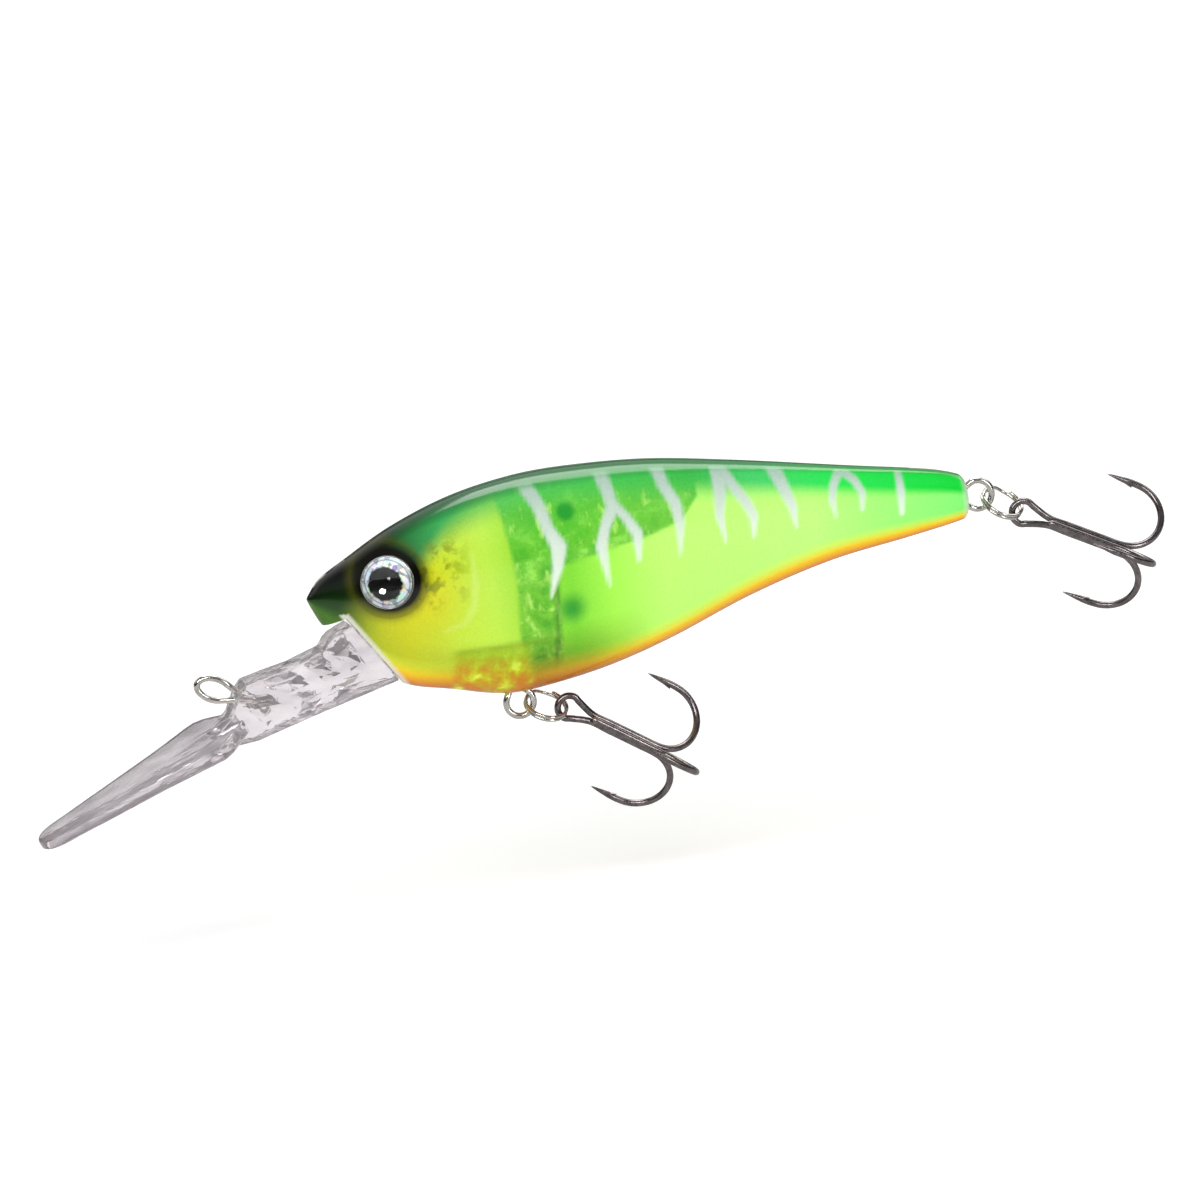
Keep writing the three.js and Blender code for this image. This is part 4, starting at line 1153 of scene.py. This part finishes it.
def double_hook(name, matrix):
    """The wire that makes two points and the eye, brazed along its shanks."""
    eye = [
        HOOK["eye_radius"] * Vector((math.cos(a), 0, math.sin(a)))
        for a in map(math.radians, HOOK_EYE_ANGLES)
    ]
    control = [*reversed(tine_path(TINES["upper"])), *eye, *tine_path(TINES["lower"])]
    path = catmull_rom([matrix @ p for p in control], 7)
    made = sweep(name, path, tapered(path, HOOK["wire"], both_ends=True), sides=18)
    combine(made, braze(matrix), "UNION")
    for tine in ("upper", "lower"):
        combine(made, barb(TINES[tine], matrix), "UNION")
    shade(made, 50)
    return made


def single_hook(name, matrix):
    path = catmull_rom([matrix @ p for p in tine_path(TINES["left"])], 7)
    made = sweep(name, path, tapered(path, HOOK["wire"], both_ends=False), sides=18)
    combine(made, barb(TINES["left"], matrix), "UNION")
    shade(made, 50)
    return made


# ---------- ballast ----------
def ballast_ball(name, cad_node):
    """A rolled ball, very slightly under size, with a fine band left by the dies."""
    low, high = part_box(cad_node)
    centre = ((low + high) / 2 - ORIGIN) / MM
    half = math.pi / 2
    profile = []
    for angle in np.linspace(-half, half, 40):
        band = 0.015 * math.exp(-((angle / 0.05) ** 2))
        radius = BALL_RADIUS - 0.02 + band
        profile.append((radius * math.cos(angle), radius * math.sin(angle)))
    return lathe(name, profile, Matrix.Translation(centre), segments=64, smooth_angle=60)


def keel_slug(name, cad_node):
    """A cast slug with chamfered ends."""
    low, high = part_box(cad_node)
    centre = ((low + high) / 2 - ORIGIN) / MM
    radius, half, cut = KEEL_SLUG["radius"] - 0.01, KEEL_SLUG["length"] / 2, KEEL_SLUG["chamfer"]
    profile = [
        (0, -half + 0.06), (radius - cut - 0.1, -half + 0.06), (radius - cut, -half), (radius, -half + cut),
        (radius - 0.03, 0), (radius, half - cut), (radius - cut, half), (radius - cut - 0.1, half - 0.06),
        (0, half - 0.06),
    ]
    return lathe(name, profile, Matrix.Translation(centre), segments=64, smooth_angle=30)


# ---------- build the object ----------
skin, bare = skin_material(), bare_plastic_material()
clear, lens, foil = lip_material(), lens_material(), foil_material()
stainless = wire_material("stainless_wire", "c6c3bb", "f0eee8", 0.1, 0.2)
gunmetal = wire_material("gunmetal_wire", "5f595b", "958c8d", 0.2, 0.3)
ball_steel = wire_material("ball_steel", "8a8784", "b5b2ae", 0.2, 0.1)
lead = lead_material()

for label, side in (("left", -1), ("right", 1)):
    paint_shell(shell(side, label + "_shell"), "hull", (skin, bare), "body_" + label)
    iris = foil_disc(label + "_iris_foil", side)
    finish_piece(iris, "hull", (foil,), label + "_eye_foil")
    dome = lens_dome(label + "_lens_dome", side)
    finish_piece(dome, "hull", (lens,), label + "_eye_lens")

finish_piece(lip_moulding("lip_moulding"), "hull", (clear,), "diving_lip")
finish_piece(line_tie("line_tie_wire"), "hull", (stainless,), "line_tie")
for end, hanger in (("belly", BELLY_HANGER), ("tail", TAIL_HANGER)):
    eye = eye_wire(end + "_hanger_wire", **hanger)
    finish_piece(eye, "hull", (stainless,), end + "_hanger")
for end in ("belly", "tail"):
    ring = split_ring(end + "_ring_coil", ring_frame(end))
    finish_piece(ring, end + "_ring", (stainless,), end + "_split_ring")
    double = double_hook(end + "_treble_pair", hook_frame(end))
    finish_piece(double, end + "_hook", (gunmetal,), end + "_hook_double")
    single = single_hook(end + "_treble_third", hook_frame(end))
    finish_piece(single, end + "_hook", (gunmetal,), end + "_hook_single")

for level in ("top", "middle", "bottom"):
    cad_name = "transfer_ball_" + level
    ball = ballast_ball("ballast_ball_" + level, cad_name)
    finish_piece(ball, level + "_ball", (ball_steel,), cad_name)
for end in ("front", "rear"):
    cad_name = end + "_keel_slug"
    slug = keel_slug(end + "_lead_slug", cad_name)
    finish_piece(slug, "hull", (lead,), cad_name)

# ---------- camera, floor and lights ----------
# The camera looks at the left flank from slightly ahead and above, rolled so that the tail rises.
CAMERA = {
    "azimuth": -10.5, "elevation": 11.0, "roll": 6.85, "lens": 500.0, "width_mm": 174.3,
    "ahead_mm": 42.57,
}
FLOOR = {"radius": 6.0, "clearance": 1.0, "sides": 96}


def camera_axes():
    """The picture's right and up directions, and the direction back to the camera."""
    azimuth, elevation, roll = (math.radians(CAMERA[k]) for k in ("azimuth", "elevation", "roll"))
    right = Vector((math.cos(azimuth), math.sin(azimuth), 0))
    level = Vector((math.sin(azimuth), -math.cos(azimuth), 0))
    back = level * math.cos(elevation) + Vector((0, 0, math.sin(elevation)))
    upward = back.cross(right)
    rolled_right = right * math.cos(roll) - upward * math.sin(roll)
    return rolled_right, back.cross(rolled_right), back


def add_camera():
    right, upward, back = camera_axes()
    data = bpy.data.cameras.new("camera")
    data.lens = CAMERA["lens"]
    camera = bpy.data.objects.new("camera", data)
    bpy.context.scene.collection.objects.link(camera)
    distance = CAMERA["width_mm"] * MM * data.lens / data.sensor_width
    aim = ORIGIN + CAMERA["ahead_mm"] * MM * right
    turn = Matrix((right, upward, back)).transposed().to_4x4()
    camera.matrix_world = Matrix.Translation(aim + distance * back) @ turn
    data.clip_start, data.clip_end = 0.01, 20
    bpy.context.scene.camera = camera


def add_floor():
    """A round pale floor, low enough that the belly treble clears it when it hangs straight down."""
    ring_reach = RING["seat"] + 2 * RING["radius"] + HOOK["eye_seat"]
    hook_reach = HOOK["bend_centre"] + HOOK["bend_reach"] + HOOK["wire"]
    drop = ring_reach + hook_reach + FLOOR["clearance"]
    height = joint("belly_ring_swing")["pos_m"][2] - drop * MM
    rim = []
    for k in range(FLOOR["sides"]):
        turn = 2 * math.pi * k / FLOOR["sides"]
        rim.append((FLOOR["radius"] * math.cos(turn), FLOOR["radius"] * math.sin(turn), height))
    mesh = bpy.data.meshes.new("floor")
    mesh.from_pydata(rim, [], [list(range(len(rim)))])
    mesh.materials.append(floor_material())
    floor = bpy.data.objects.new("floor", mesh)
    bpy.context.scene.collection.objects.link(floor)


def floor_material():
    """Near white with a little glow of its own, and darker where the object mirrors it."""
    made, tree, shader = material("pale_floor", Roughness=0.65, Specular_IOR_Level=0.0)
    pale = ramp(noise(place(tree), 0.02, 4), [(0.3, 0.9), (0.7, 0.94)])
    rays = node(tree, "ShaderNodeLightPath").outputs
    # A rough refracted ray counts as glossy too, but is to see the pale floor.
    mirrored = maths("SUBTRACT", rays["Is Glossy Ray"], rays["Is Transmission Ray"])
    mirrored = maths("MAXIMUM", mirrored, 0.0)
    feed(
        shader, Base_Color=mix(mirrored, pale, (0.5, 0.5, 0.5, 1)), Emission_Color=(1, 1, 1, 1),
        Emission_Strength=maths("MULTIPLY_ADD", mirrored, -0.2, 0.3),
    )
    return made


def add_lamp(name, kind, position, target, energy, mirrored=True, lit=True):
    """A lamp aimed at a target; mirrored or lit says whether it shows in reflections or only lights."""
    data = bpy.data.lights.new(name, kind)
    data.energy = energy
    lamp = bpy.data.objects.new(name, data)
    bpy.context.scene.collection.objects.link(lamp)
    lamp.location = position
    lamp.rotation_euler = (Vector(target) - Vector(position)).to_track_quat("-Z", "Y").to_euler()
    lamp.visible_camera = False
    lamp.visible_glossy = mirrored
    lamp.visible_transmission = mirrored
    lamp.visible_diffuse = lit
    return data


def light_only(lamp_name, pieces):
    """Keeps a lamp's light, and its mirror image, to the named pieces."""
    receivers = bpy.data.collections.new(lamp_name + "_receivers")
    for piece in pieces:
        receivers.objects.link(bpy.data.objects[piece])
    bpy.data.objects[lamp_name].light_linking.receiver_collection = receivers


def add_softbox(name, offset, size, energy, only=(), **seen):
    """A rectangular lamp at an offset in metres from the object's middle, for some pieces only."""
    data = add_lamp(name, "AREA", MIDDLE + Vector(offset), MIDDLE, energy, **seen)
    data.shape, data.size, data.size_y = "RECTANGLE", size[0], size[1]
    if only:
        light_only(name, only)


def add_daylight(direction, spread, energy):
    """An even, very soft light from far away."""
    data = add_lamp("daylight", "SUN", MIDDLE + Vector(direction), MIDDLE, energy, mirrored=False)
    data.angle = math.radians(spread)


def add_catchlight(ahead, drop, distance, size, energy):
    """A small lamp mirrored by the left lens at a spot ahead of and below the eye's centre."""
    eye = eye_frame(-1)
    across, upward = (eye.to_3x3() @ axis for axis in eye_axes(eye))
    lens_height = EYE["crown"] - EYE["lens_base"] - EYE["rim"]
    lean = lens_height / EYE["radius"] ** 2
    outward = eye.to_3x3() @ Vector((0, 1, 0))
    normal = (outward - across * ahead * lean - upward * drop * lean).normalized()
    view = camera_axes()[2]
    towards = (2 * normal.dot(view) * normal - view).normalized()
    spot_at = ORIGIN + MM * eye.translation
    data = add_lamp("catchlight", "AREA", spot_at + towards * distance, spot_at, energy, lit=False)
    data.shape, data.size = "DISK", size
    light_only("catchlight", ["left_lens_dome"])


def add_world():
    """White to the camera, an even grey to soft light, and a banded studio to reflections."""
    world = bpy.data.worlds.new("studio")
    bpy.context.scene.world = world
    world.use_nodes = True
    tree = world.node_tree
    background = tree.nodes["Background"]
    direction = node(tree, "ShaderNodeTexCoord").outputs["Generated"]
    split = node(tree, "ShaderNodeSeparateXYZ", {"Vector": direction})
    banded = ramp(split.outputs["Z"], [
        (0.0, 0.08), (0.3, 0.1), (0.48, 0.8), (0.72, 0.75), (0.95, 0.35),
    ])
    behind = ramp(split.outputs["Y"], [(0.0, 0.35), (0.35, 1.0)])
    studio = mix(1.0, banded, behind, "MULTIPLY")
    rays = node(tree, "ShaderNodeLightPath").outputs
    seen = mix(rays["Is Diffuse Ray"], studio, (0.42, 0.42, 0.42, 1))
    feed(background, Color=mix(rays["Is Camera Ray"], seen, (1, 1, 1, 1)), Strength=1.0)


MIDDLE = (CAD_BOX[0] + CAD_BOX[1]) / 2
WIRES = ["line_tie_wire"]
for end in ("belly", "tail"):
    WIRES += [end + part for part in ("_hanger_wire", "_ring_coil", "_treble_pair", "_treble_third")]
add_camera()
add_floor()
add_world()
add_daylight(direction=(-0.25, -0.6, 0.7), spread=70, energy=1.8)
add_softbox("overhead", (0.1, 0.19, 0.5), size=(0.4, 0.26), energy=1.5, lit=False)
add_softbox("overhead_rear", (0.55, 0.19, 0.5), size=(0.5, 0.26), energy=0.6, lit=False)
add_softbox("front_fill", (-0.35, -0.8, 0.3), size=(0.7, 0.7), energy=0.8, mirrored=False)
add_softbox("rear_fill", (0.5, 0.8, 0.4), size=(0.7, 0.7), energy=0.8, mirrored=False)
add_softbox("wire_strip", (-0.15, -0.55, 0.3), size=(0.5, 0.1), energy=1.6, lit=False, only=WIRES)
add_softbox("wire_window", (0.4, -0.6, 0.1), size=(0.12, 0.4), energy=1.2, lit=False, only=WIRES)
add_catchlight(ahead=0.94, drop=1.33, distance=0.5, size=0.08, energy=1.2)
bpy.context.scene.view_settings.view_transform = "Standard"
